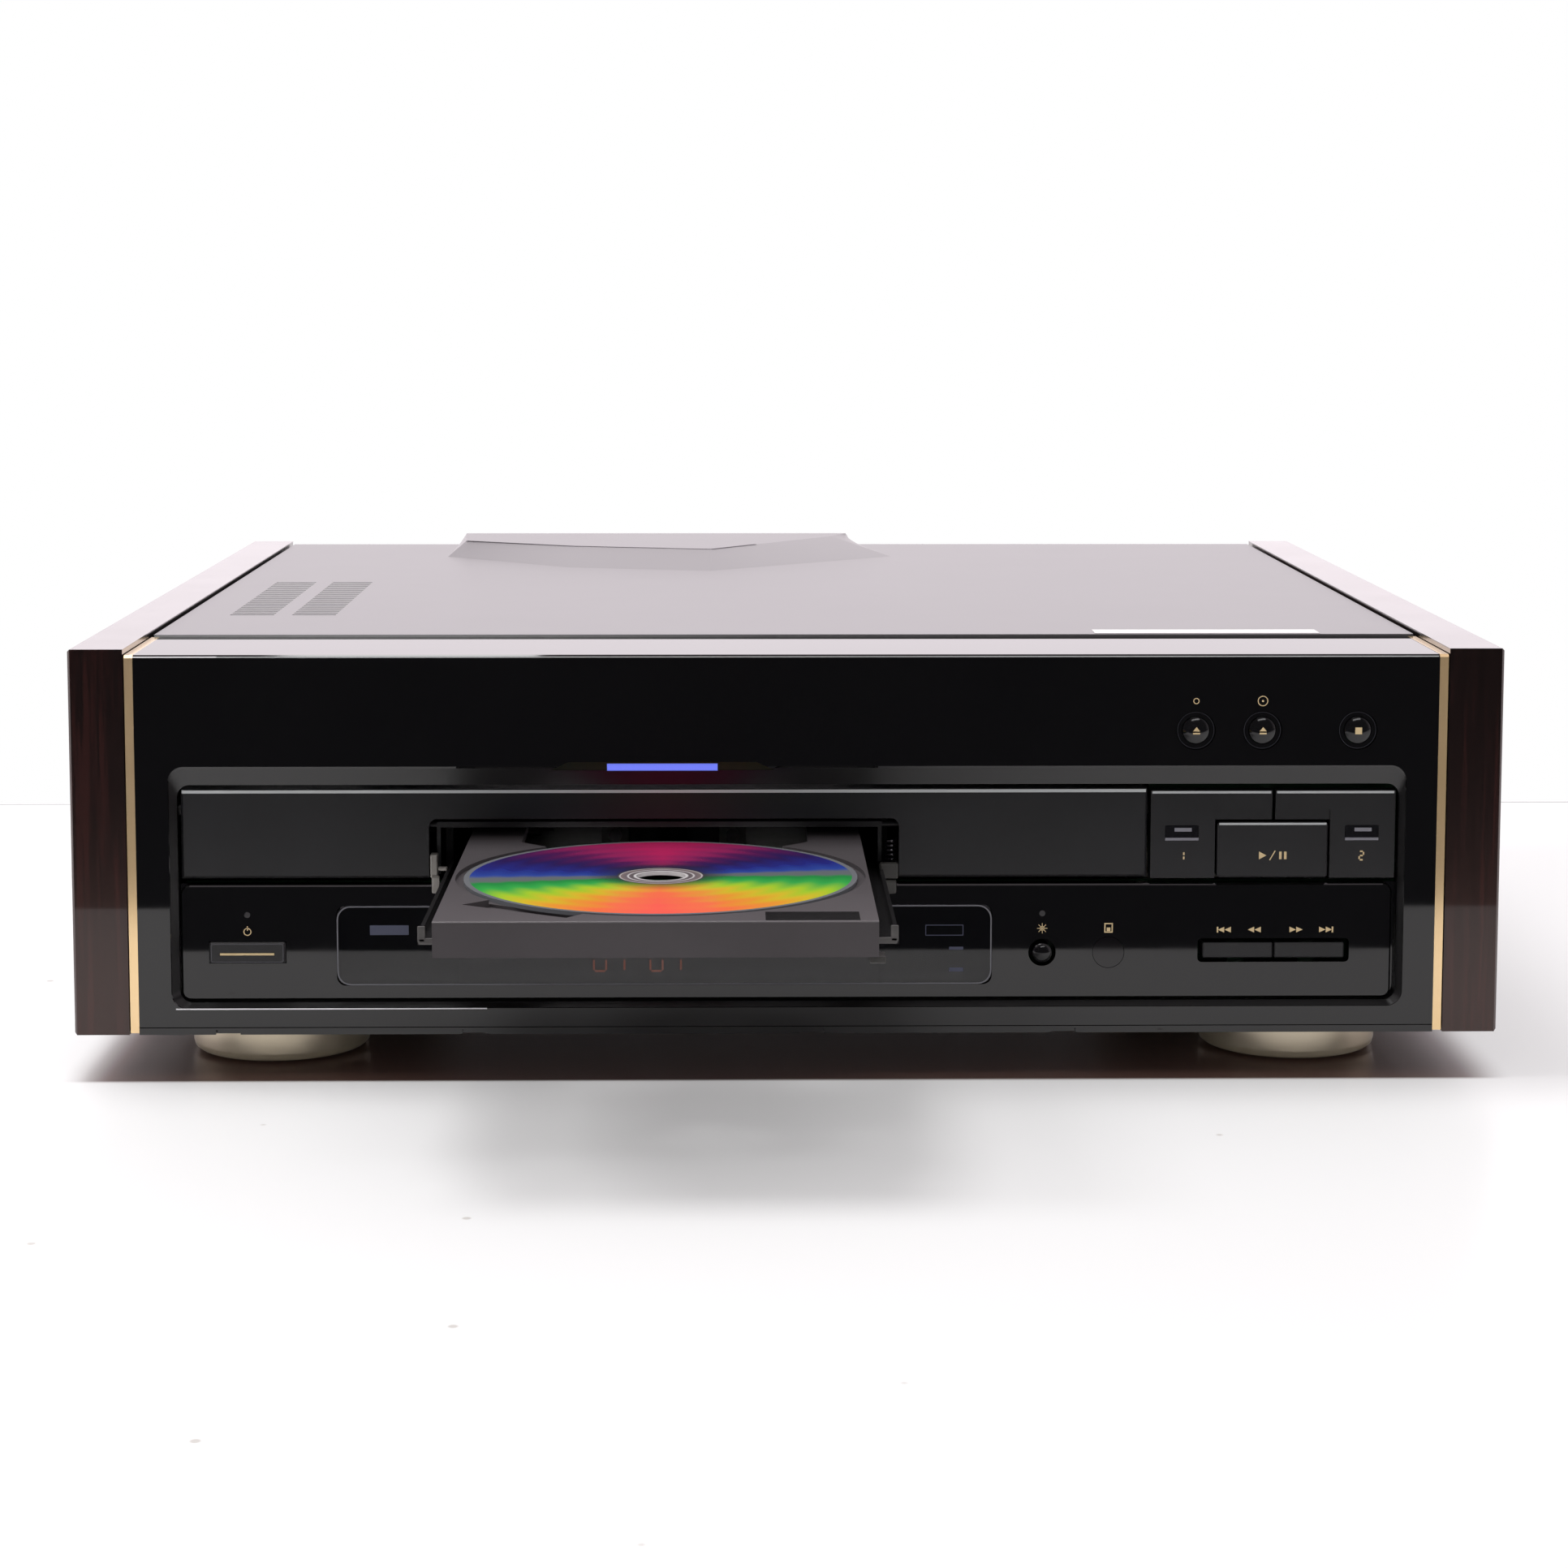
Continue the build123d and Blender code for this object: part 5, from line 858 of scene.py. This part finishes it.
    def add_rear_screws(self) -> None:
        """Screws with a sunk middle in the head, along the edges of the back."""
        shape = bmesh.new()
        for x in self.screw_x:
            for z in self.screw_heights:
                head = bmesh.ops.create_cone(
                    shape, cap_ends=True, segments=24, radius1=self.screw_radius * MM,
                    radius2=self.screw_flat * MM, depth=self.screw_rise * MM,
                    matrix=at(x, self.rear_face + self.screw_rise / 2, z)
                    @ Matrix.Rotation(-math.pi / 2, 4, "X"))
                cap = max((face for corner in head["verts"] for face in corner.link_faces),
                          key=lambda face: face.calc_center_median().y)
                bmesh.ops.inset_individual(shape, faces=[cap], thickness=self.screw_rim * MM,
                                           depth=-self.screw_sink * MM)
        add_piece("rear_screws", shape, BLACK_STEEL, "cabinet")

    def build(self) -> None:
        """Dress the cabinet and add its small pieces."""
        self.dress()
        self.add_sticker()
        self.add_crease()
        self.add_edges()
        self.add_insulators()
        self.add_rear_screws()


@dataclass
class Controls:
    """Fascia, display, lamps, buttons and keys, with their printed marks."""

    # depths of the faces that carry marks
    ring_depth: float = 0.5
    power_depth: float = 1.8
    play_depth: float = 2.4
    window_depth: float = 2.8
    fascia_depth: float = 3.0
    side_key_depth: float = 3.0
    tube_depth: float = 10.0
    # the two ejects and stop
    button_x: Triple = (132.1, 153.7, 184.7)
    button_height: float = 115.1
    size_marks_height: float = 124.7
    ring_radius: float = 6.0
    ring_line: float = 0.16
    dome_radius: float = 4.3
    dome_rise: float = 1.5
    # the plane that cuts the ball's cap lies this far behind the button's face
    dome_cut: float = 0.05
    dome_print: float = 0.06
    display_x: float = 83.1
    display_height: float = 41.5
    display_radius: float = 3.1
    power_x: float = -175.9
    power_height: float = 42.1
    lamp_mark_x: float = 104.8
    marks_height: float = 48.9
    # X, way and side of the end bar of the skip and search marks
    rocker_marks: tuple[tuple[float, Way, int], ...] = (
        (143.1, Way.LEFT, -1), (152.9, Way.LEFT, 0), (165.9, Way.RIGHT, 0), (175.6, Way.RIGHT, 1))
    side_keys: tuple[tuple[str, float, int], ...] = (("side_a", 128.4, 1), ("side_b", 187.2, 2))
    key_number_height: float = 73.4
    key_window: Quad = (0.0, 80.9, 10.9, 4.9)
    key_window_bars: tuple[Quad, ...] = ((0.0, 78.9, 10.9, 0.9), (0.4, 82.0, 5.6, 1.2))
    play_height: float = 73.6
    numbers: tuple[tuple[float, int], ...] = ((-61.5, 0), (-55.5, 1), (-43.0, 0), (-37.0, 7))
    numbers_height: float = 38.5
    # painted highlights round the window and the power button: X and height of the middle, width,
    # height, corner and line
    window_highlight: tuple[float, ...] = (-40.15, 44.25, 213.4, 26.2, 4.5, 0.45)
    power_highlight: tuple[float, ...] = (-175.9, 42.1, 23.6, 6.2, 0.8, 0.3)
    window_boxes: tuple[Quad, ...] = (
        (-129.8, 49.4, 12.6, 3.2), (55.0, 43.0, 4.6, 1.0), (55.0, 35.9, 4.6, 1.3))
    window_frame: tuple[float, ...] = (51.1, 49.0, 12.4, 3.6, 0.25)

    def dress(self) -> None:
        """Give the controls their finishes."""
        dress(FASCIA_BLACK, "lower_fascia")
        dress(PIANO_BLACK, "button_rings")
        dress(SMOKED_WINDOW, "display_window")
        dress(DISPLAY_GLASS, "display_tube")
        dress(SENSOR_RED, "sensor_window")
        dress(LIT_BLUE, "lamp_lens")
        dress(SMALL_LAMP, "indicator_lamps")
        dress(BUTTON_BLACK, "small_eject_button", "large_eject_button", "stop_button",
              "display_button")
        dress(SATIN_BLACK, "power_button", "side_a_key", "side_b_key", "play_key", "left_rocker",
              "right_rocker")
        dress(BOARD_GREEN, "front_boards")
        dress(SWITCH_BLACK, "tact_switches")

    def add_dome(self, name: str, x: float, z: float, radius: float) -> float:
        """Domed cap on a round button, which catches the light at its top.

        Args:
            name: the button's name, without its last word.
            x: where its middle is.
            z: how high its middle is.
            radius: the cap's radius.

        Returns:
            The depth at which a mark lies on the dome's top.
        """
        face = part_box(name + "_button")[0].y / MM - FRONT_Y
        # a ball's cap: the cap's radius and rise give the ball's radius
        ball = (radius ** 2 + self.dome_rise ** 2) / (2 * self.dome_rise)
        shape = bmesh.new()
        bmesh.ops.create_uvsphere(
            shape, u_segments=64, v_segments=48, radius=ball * MM,
            matrix=at(x, face + ball - self.dome_rise, z) @ Matrix.Rotation(math.pi / 2, 4, "X"))
        bmesh.ops.bisect_plane(
            shape, geom=shape.verts[:] + shape.edges[:] + shape.faces[:],
            plane_co=at(0.0, face + self.dome_cut, 0.0).translation, plane_no=(0.0, 1.0, 0.0),
            clear_outer=True)
        bmesh.ops.holes_fill(shape, edges=[edge for edge in shape.edges if edge.is_boundary])
        add_piece(name + "_dome", shape, BUTTON_BLACK, name + "_button",
                  smooth=True)
        return face - self.dome_rise - 2 * HAIR

    def add_button_marks(self) -> None:
        """Domes, eject marks on two buttons, a stop mark, and the two disc sizes above."""
        small, large, stop = self.button_x
        depths = [self.add_dome(name, x, self.button_height, self.dome_radius)
                  for name, x in zip(("small_eject", "large_eject", "stop"), self.button_x)]
        self.add_dome("display", self.display_x, self.display_height, self.display_radius)
        # painted highlights: thin grey rings where the button rings' edges catch the light
        glint = FrontPrint("button_ring_glints", "cabinet", self.ring_depth, RIM_GLINT,
                           "smoked_lens")
        for x in self.button_x:
            glint.ring(x, self.button_height, self.ring_radius, self.ring_line)
        glint.done()
        for name, x, depth in zip(("small_eject", "large_eject"), (small, large), depths):
            mark = FrontPrint(name + "_mark", name + "_button", depth, thickness=self.dome_print)
            mark.triangle(x, self.button_height + 0.35, long=1.4, wide=2.3, way=Way.UP)
            mark.bar(x, self.button_height - 0.85, wide=2.3, high=0.5)
            mark.done()
        mark = FrontPrint("stop_mark", "stop_button", depths[-1], thickness=self.dome_print)
        mark.bar(stop, self.button_height, wide=2.2, high=2.2)
        mark.done()
        sizes = FrontPrint("disc_size_marks", "cabinet", 0.0)
        sizes.ring(small, self.size_marks_height, radius=1.0, line=0.28)
        sizes.ring(large, self.size_marks_height, radius=1.7, line=0.28)
        sizes.dot(large, self.size_marks_height, radius=0.35)
        sizes.done()

    def add_key_marks(self) -> None:
        """Play and pause on the large key, a plain number on each side key."""
        low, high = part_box("play_key")
        middle = (low.x + high.x) / 2 / MM
        play = FrontPrint("play_mark", "play_key", self.play_depth)
        play.triangle(middle - 3.6, self.play_height, long=2.4, wide=2.6, way=Way.RIGHT)
        play.bar(middle, self.play_height, wide=0.32, high=3.6, turn=-30.0)
        for right in (2.6, 4.2):
            play.bar(middle + right, self.play_height, wide=0.8, high=2.5)
        play.done()
        for name, x, number in self.side_keys:
            mark = FrontPrint(name + "_mark", name + "_key", self.side_key_depth)
            mark.digit(x, self.key_number_height, high=2.8, value=number, weight=0.17)
            mark.done()

    def add_key_windows(self) -> None:
        """Small dark windows in the side keys, each with lighter bars across it."""
        for name, x, _ in self.side_keys:
            for end, depth, finish, slot, thickness, bars in (
                    ("_window", 3.5, KEY_LENS, "smoked_lens", 0.52, (self.key_window,)),
                    ("_window_bar", 2.97, PRINT_GREY, "satin_black", 0.03,
                     self.key_window_bars)):
                add_bars(name + end, name + "_key", depth, finish, slot, thickness,
                         tuple((x + right, *rest) for right, *rest in bars))

    def add_fascia_marks(self) -> None:
        """Skip and search marks over the rockers, power and lamp marks, and the power line."""
        marks = FrontPrint("rocker_marks", "cabinet", self.fascia_depth)
        for x, way, end in self.rocker_marks:
            for right in (-1.1, 1.1):
                marks.triangle(x + right, self.marks_height, long=2.1, wide=1.9, way=way)
            if end:
                marks.bar(x + end * 2.6, self.marks_height, wide=0.5, high=1.9)
        marks.ring(self.power_x, self.marks_height, radius=1.3, line=0.3)
        marks.bar(self.power_x, self.marks_height + 1.1, wide=0.34, high=1.5)
        marks.ring(self.display_x, self.marks_height + 0.6, radius=0.8, line=0.25)
        for turn in (0.0, 45.0, 90.0, 135.0):
            marks.bar(self.display_x, self.marks_height + 0.6, wide=3.4, high=0.2, turn=turn)
        marks.frame(self.lamp_mark_x, self.marks_height + 0.7, wide=2.8, high=3.2, line=0.4)
        marks.bar(self.lamp_mark_x, self.marks_height + 0.2, wide=1.2, high=1.2)
        marks.done()
        # painted highlight: a grey outline where the power button's edge catches the light
        edge = FrontPrint("power_button_highlight", "power_button", self.power_depth, RIM_GLINT,
                          "satin_black", thickness=0.06)
        edge.outline(*self.power_highlight)
        edge.done()
        line = FrontPrint("power_line", "power_button", self.power_depth, thickness=0.15)
        line.bar(self.power_x, self.power_height - 0.35, wide=17.6, high=0.7)
        line.done()

    def add_display(self) -> None:
        """Dim numbers on the display tube, and plain boxes printed on the window."""
        lit = FrontPrint("display_numbers", "cabinet", self.tube_depth, SEGMENT, "lamp_blue",
                         thickness=0.04)
        for x, value in self.numbers:
            lit.digit(x, self.numbers_height, high=8.0, value=value)
        lit.done()
        # painted highlight: a grey outline where the window's bevel catches the light
        rim = FrontPrint("window_highlight", "cabinet", self.window_depth, RIM_HIGHLIGHT, "smoked_lens",
                         thickness=0.12)
        rim.outline(*self.window_highlight)
        rim.done()
        boxes = FrontPrint("window_boxes", "cabinet", self.window_depth + 0.02, PRINT_BLUE,
                           "smoked_lens", thickness=0.03)
        for box in self.window_boxes:
            boxes.bar(*box)
        boxes.frame(*self.window_frame)
        boxes.done()

    def build(self) -> None:
        """Dress the controls and add their marks."""
        self.dress()
        self.add_button_marks()
        self.add_key_marks()
        self.add_key_windows()
        self.add_fascia_marks()
        self.add_display()


@dataclass
class Drawer:
    """Large drawer with its hatch, and the small tray that runs in it."""

    hatch_left: float = -116.65
    hatch_right: float = 36.15
    # blocks beside the hatch, with X from its left or right side
    lever: tuple[Block, ...] = (
        ((0.4, 1.6, 66.8), (3.0, 5.2, 74.6), 0.5), ((0.9, 0.6, 61.8), (3.6, 2.6, 67.6), 0.6),
        ((2.6, 2.2, 69.0), (6.0, 3.6, 70.4), 0.4))
    guide: tuple[Block, ...] = (
        ((-6.4, -0.4, 66.6), (-0.4, 3.0, 71.6), 0.5), ((-5.6, -0.6, 61.6), (-0.9, 2.2, 66.2), 0.7))
    # left and right edge, and near and far edge by depth
    label: Quad = (-8.7, 18.3, -130.6, -118.9)
    label_thickness: float = 0.1
    tray_top: float = 79.5
    tray_middle: float = -39.95
    # inner and outer edge from the tray's middle, bottom and top
    runner_ends: tuple[Quad, ...] = ((63.6, 70.4, 66.3, 68.2), (68.4, 70.7, 67.0, 71.8))
    runner_depths: tuple[float, float] = (-100.7, -99.9)
    runner_edge: float = 0.3
    catch: Block = ((21.0, -131.0, 66.9), (25.6, -124.0, 69.0), 0.4)
    # painted highlights along top edges: name, body, left, right, top, depth and height
    highlight_edges: tuple[tuple[str, str, float, float, float, float, float], ...] = (
        ("drawer", "large_drawer", -196.4, 116.5, 95.45, 2.98, 1.0),
        ("side_a", "side_a_key", 118.6, 157.4, 94.75, 2.98, 0.8),
        ("side_b", "side_b_key", 159.3, 197.6, 94.75, 2.98, 0.8),
        ("play", "play_key", 140.5, 175.5, 84.35, 2.38, 0.7))
    edge_thickness: float = 0.02

    def dress(self) -> None:
        """Give the drawer's and the trays' nodes their finishes."""
        dress(SATIN_BLACK, "drawer_front")
        dress(TRAY_BLACK, "large_tray", "flap_door")
        dress(BRIGHT_STEEL, "flap_spring")
        dress(TRAY_GREY, "small_tray")
        dress(RUNNER_BLACK, "small_tray_runners", "drawer_rails")
        dress(GEAR_WHITE, "small_tray_pinion")
        low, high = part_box("small_disc")
        middle = (low + high) / 2
        dress(Rainbow("pressed_disc_tracks", "a49a9c", "8c868a", 0.22, ior=1.3, specular=0.15,
                      grain=Grain.POLISHED, grain_mm=30.0, relief_mm=0.0005,
                      centre=(middle.x, middle.y)), "small_disc")

    def add_edges(self) -> None:
        """Painted highlights: light grey bars on the top edges of the drawer and the keys, on
        their front chamfers.
        """
        for name, body, left, right, top, depth, high in self.highlight_edges:
            add_bars(name + "_edge", body, depth, EDGE_HIGHLIGHT, "satin_black", self.edge_thickness,
                     (((left + right) / 2, top - high / 2, right - left, high),))

    def add_runner_ends(self) -> None:
        """Bright worn ends of the runners, and the small catch under the tray's right corner."""
        near, far = self.runner_depths
        blocks = []
        for side in (-1, 1):
            for inner, outer, bottom, top in self.runner_ends:
                left, right = sorted((side * inner, side * outer))
                blocks.append(((left, near, bottom), (right, far, top), self.runner_edge))
        add_blocks("runner_ends", "small_tray", RUNNER_WORN, tuple(blocks),
                   across=self.tray_middle)
        add_blocks("tray_catch", "small_tray", GUIDE_GREY, (self.catch,))

    def add_label(self) -> None:
        """Blank black label on the small tray's front right corner."""
        left, right, near, far = self.label
        add_blocks("tray_label", "small_tray", LABEL_BLACK, (
            ((left, near, self.tray_top + HAIR),
             (right, far, self.tray_top + self.label_thickness), 0.0),))

    def add_hatch_fittings(self) -> None:
        """Lever at the left of the hatch, and guide blocks at its right."""
        add_blocks("hatch_lever", "large_drawer", LEVER_ALLOY, self.lever,
                   across=self.hatch_left)
        add_blocks("hatch_guide", "large_drawer", GUIDE_GREY, self.guide,
                   across=self.hatch_right)

    def build(self) -> None:
        """Dress the drawer and add its small pieces."""
        self.dress()
        self.add_edges()
        self.add_runner_ends()
        self.add_label()
        self.add_hatch_fittings()


@dataclass
class Works:
    """Drives, disc mechanism, boards and parts inside."""

    finishes: tuple[tuple[Finish, tuple[str, ...]], ...] = (
        (GEAR_WHITE, ("drive_gear", "motor_pulley", "clamper")),
        (BRIGHT_STEEL, ("loading_motor", "guide_rods", "spindle_motor")),
        (BELT_RUBBER, ("drive_belt",)),
        (ZINC, ("mechanism_frame", "clamp_arm", "clamp_bracket")),
        (TURNTABLE_RUBBER, ("turntable",)),
        (PICKUP_DARK, ("pickup_carriage",)),
        (BOARD_GREEN, ("main_board", "power_board")),
        (CORE_STEEL, ("transformer",)),
        (CAP_SLEEVE, ("capacitors",)),
        (HEAT_ALLOY, ("heat_sink",)),
    )

    def build(self) -> None:
        """Give the inner nodes their finishes."""
        for finish, names in self.finishes:
            dress(finish, *names)


# ---------------------------------------------------------------- studio
@dataclass
class Studio:
    """Pale glossy table, soft lamps, and the camera as it stood for the photograph."""

    lens_mm: float = 74.86
    sensor_mm: float = 36.0
    image_px: float = 1932.0
    axis_above_middle_px: float = 223.4
    pitch_deg: float = 5.911
    yaw_deg: float = 0.95
    roll_deg: float = 0.063
    place_mm: Triple = (-18.75, -1184.38, 264.91)
    table_half_m: float = 8.0
    table_edge_mm: float = 410.0
    edge_line_m: float = 0.0014
    speck_mm: float = 45.0
    # where the dark under the player starts and is full: X in metres, then depths
    under_side_m: tuple[float, float] = (0.239, 0.221)
    under_front_mm: tuple[float, float] = (-2.5, 1.5)
    under_back_mm: tuple[float, float] = (425.0, 400.0)
    lit_reach_mm: float = -428.0
    lit_fade_mm: float = 3.0
    table_lift: float = 0.3
    white_from_m: tuple[float, float] = (0.9, 1.5)
    # name, place, aim and size in metres, and watts
    lamps: tuple[tuple[str, Triple, Triple, tuple[float, float], float], ...] = (
        ("overhead", (-0.35, 0.0, 1.6), (0.0, -0.15, 0.0), (0.6, 0.6), 10.5),
        ("left_key", (-1.3, 0.0, 1.45), (0.0, -0.15, 0.0), (0.5, 0.5), 9.0),
        ("back_strip", (0.0, 2.4, 0.55), (0.0, 0.0, 0.12), (3.6, 1.1), 4.5),
        ("front_fill", (0.25, -1.1, 1.5), (0.0, -0.1, 0.06), (1.2, 0.22), 3.4),
    )

    def add_camera(self) -> None:
        """Camera at the photograph's place, with the photograph's framing as its shift."""
        lens = bpy.data.cameras.new("camera")
        lens.lens = self.lens_mm
        lens.sensor_width = self.sensor_mm
        lens.shift_y = -self.axis_above_middle_px / self.image_px
        camera = add_object("camera", lens)
        turn = (Matrix.Rotation(math.radians(-self.yaw_deg), 4, "Z")
                @ Matrix.Rotation(math.radians(90.0 - self.pitch_deg), 4, "X")
                @ Matrix.Rotation(math.radians(self.roll_deg), 4, "Z"))
        camera.matrix_world = Matrix.Translation(Vector(self.place_mm) * MM) @ turn
        bpy.context.scene.camera = camera

    def under_player(self, tree: Tree, parts: bpy.types.bpy_prop_collection) -> Node:
        """Share that is 1 on the table under the player and 0 away from it.

        Args:
            tree: the table's node tree.
            parts: X, Y and Z of its Object coordinates.

        Returns:
            The node that gives it.
        """
        side = put(tree, "Math", {0: parts["X"]}, operation="ABSOLUTE")
        under, *others = (
            put(tree, "MapRange", {"Value": value, "From Min": start, "From Max": full},
                interpolation_type="SMOOTHSTEP")
            for value, (start, full) in (
                (side, self.under_side_m),
                (parts["Y"], [(FRONT_Y + depth) * MM for depth in self.under_front_mm]),
                (parts["Y"], [(FRONT_Y + depth) * MM for depth in self.under_back_mm])))
        for other in others:
            under = put(tree, "Math", {0: under, 1: other}, operation="MULTIPLY")
        return under

    def table_material(self) -> bpy.types.Material:
        """White laminate with a clear gloss. In mirror images it goes dark well in front."""
        made = bpy.data.materials.new("white_table_laminate")
        made.use_nodes = True
        tree = made.node_tree
        tree.nodes.clear()
        place = put(tree, "TexCoord").outputs["Object"]
        parts = put(tree, "SeparateXYZ", {"Vector": place}).outputs
        marks = put(tree, "TexVoronoi", {"Vector": place, "Scale": per_metre(self.speck_mm)})
        speck = put(tree, "MapRange", {"Value": marks, "From Min": 0.02, "From Max": 0.035,
                                       "To Min": 0.8, "To Max": 0.0})
        edge = put(tree, "Math", {0: parts["Y"], 1: self.table_edge_mm * MM, 2: self.edge_line_m},
                   operation="COMPARE")
        # the real shadow alone comes out paler under the player than in the photograph
        path = put(tree, "LightPath").outputs
        under = self.under_player(tree, parts)
        # painted shadow: reddish brown mixed into the table under the player, for camera rays only
        painted_shadow = put(tree, "Math", {0: under, 1: path["Is Camera Ray"]}, operation="MULTIPLY")
        near = put(tree, "MapRange", {
            "Value": parts["Y"], "From Min": (self.lit_reach_mm - self.lit_fade_mm) * MM,
            "From Max": (self.lit_reach_mm + self.lit_fade_mm) * MM, "To Min": 1.0, "To Max": 0.0})
        dark = put(tree, "Math", {0: near, 1: path["Is Glossy Ray"]}, operation="MULTIPLY")
        plain = linear("f6f5f5")
        for share, colour in ((speck, "b8aea6"), (edge, "9a9a9c"), (painted_shadow, "6a5048"),
                              (dark, "3a3a40")):
            plain = put(tree, "Mix", {"Factor": share, 6: plain, 7: linear(colour)},
                        data_type="RGBA")
        laminate = put(tree, "BsdfPrincipled", {"Base Color": plain, "Roughness": 0.3,
                                                "Specular IOR Level": 0.12})
        # to the camera it is plain white past its back edge and far from the player, and
        # table_lift whiter than its shadows alone would leave it nearer by
        beyond = put(tree, "MapRange", {"Value": parts["Y"],
                                        "From Min": (self.table_edge_mm + 2) * MM,
                                        "From Max": (self.table_edge_mm + 4) * MM})
        away = put(tree, "VectorMath", {0: place}, operation="LENGTH")
        far = put(tree, "MapRange", {"Value": away, "From Min": self.white_from_m[0],
                                     "From Max": self.white_from_m[1]})
        clear = put(tree, "MapRange", {"Value": under, "To Min": self.table_lift, "To Max": 0.0})
        white = beyond
        for share, operation in ((far, "MAXIMUM"), (clear, "MAXIMUM"),
                                 (path["Is Camera Ray"], "MULTIPLY")):
            white = put(tree, "Math", {0: white, 1: share}, operation=operation)
        backdrop = put(tree, "Emission", {"Color": linear("ffffff"), "Strength": 1.0})
        surface = put(tree, "MixShader", {0: white, 1: laminate, 2: backdrop})
        put(tree, "OutputMaterial", {"Surface": surface})
        return made

    def add_table(self) -> None:
        """The table's top, far wider than the picture."""
        shape = bmesh.new()
        bmesh.ops.create_grid(shape, x_segments=1, y_segments=1, size=self.table_half_m)
        mesh = bpy.data.meshes.new("table")
        shape.to_mesh(mesh)
        shape.free()
        table = add_object("table", mesh)
        mesh.materials.append(self.table_material())

    def add_lamps(self) -> None:
        """Soft lamps, which the camera doesn't see."""
        for name, place, aim, size, watts in self.lamps:
            light = bpy.data.lights.new(name, "AREA")
            light.shape = "RECTANGLE"
            light.size, light.size_y = size
            light.energy = watts
            lamp = add_object(name, light)
            lamp.location = place
            lamp.rotation_mode = "QUATERNION"
            lamp.rotation_quaternion = (Vector(aim) - Vector(place)).to_track_quat("-Z", "Y")
            lamp.visible_camera = False

    def add_world(self) -> None:
        """White surroundings behind the player, and a dark room where the camera stands.

        Gloss and glass see that room, diffuse surfaces a softer one, and the camera white.
        """
        world = bpy.data.worlds.new("studio")
        bpy.context.scene.world = world
        world.use_nodes = True
        tree = world.node_tree
        tree.nodes.clear()
        way = put(tree, "TexCoord").outputs["Generated"]
        back = put(tree, "SeparateXYZ", {"Vector": way}).outputs["Y"]
        mirrored, soft = (
            put(tree, "Background", {"Color": linear(colour), "Strength": put(
                tree, "MapRange", {"Value": back, "From Min": start, "From Max": end,
                                   "To Min": front, "To Max": rear})})
            for colour, start, end, front, rear in (("fff3fa", -0.45, 0.05, 0.06, 1.0),
                                                    ("f8f4f6", -1.0, 1.0, 0.5, 0.98)))
        white = put(tree, "Background", {"Color": linear("ffffff"), "Strength": 1.0})
        path = put(tree, "LightPath").outputs
        shiny = put(tree, "Math", {0: path["Is Glossy Ray"], 1: path["Is Transmission Ray"]},
                    operation="MAXIMUM")
        room = put(tree, "MixShader", {0: shiny, 1: soft, 2: mirrored})
        seen = put(tree, "MixShader", {0: path["Is Camera Ray"], 1: room, 2: white})
        put(tree, "OutputWorld", {"Surface": seen})

    def build(self) -> None:
        """Set up camera, table, lamps and surroundings."""
        self.add_camera()
        self.add_table()
        self.add_world()
        self.add_lamps()
        bpy.context.scene.view_settings.view_transform = "Standard"


def main() -> None:
    """Build the studio and the player."""
    Studio().build()
    for part in (Cabinet(), Controls(), Drawer(), Works()):
        part.build()
        log.info("%s is done", type(part).__name__)


if __name__ == "__main__":
    main()
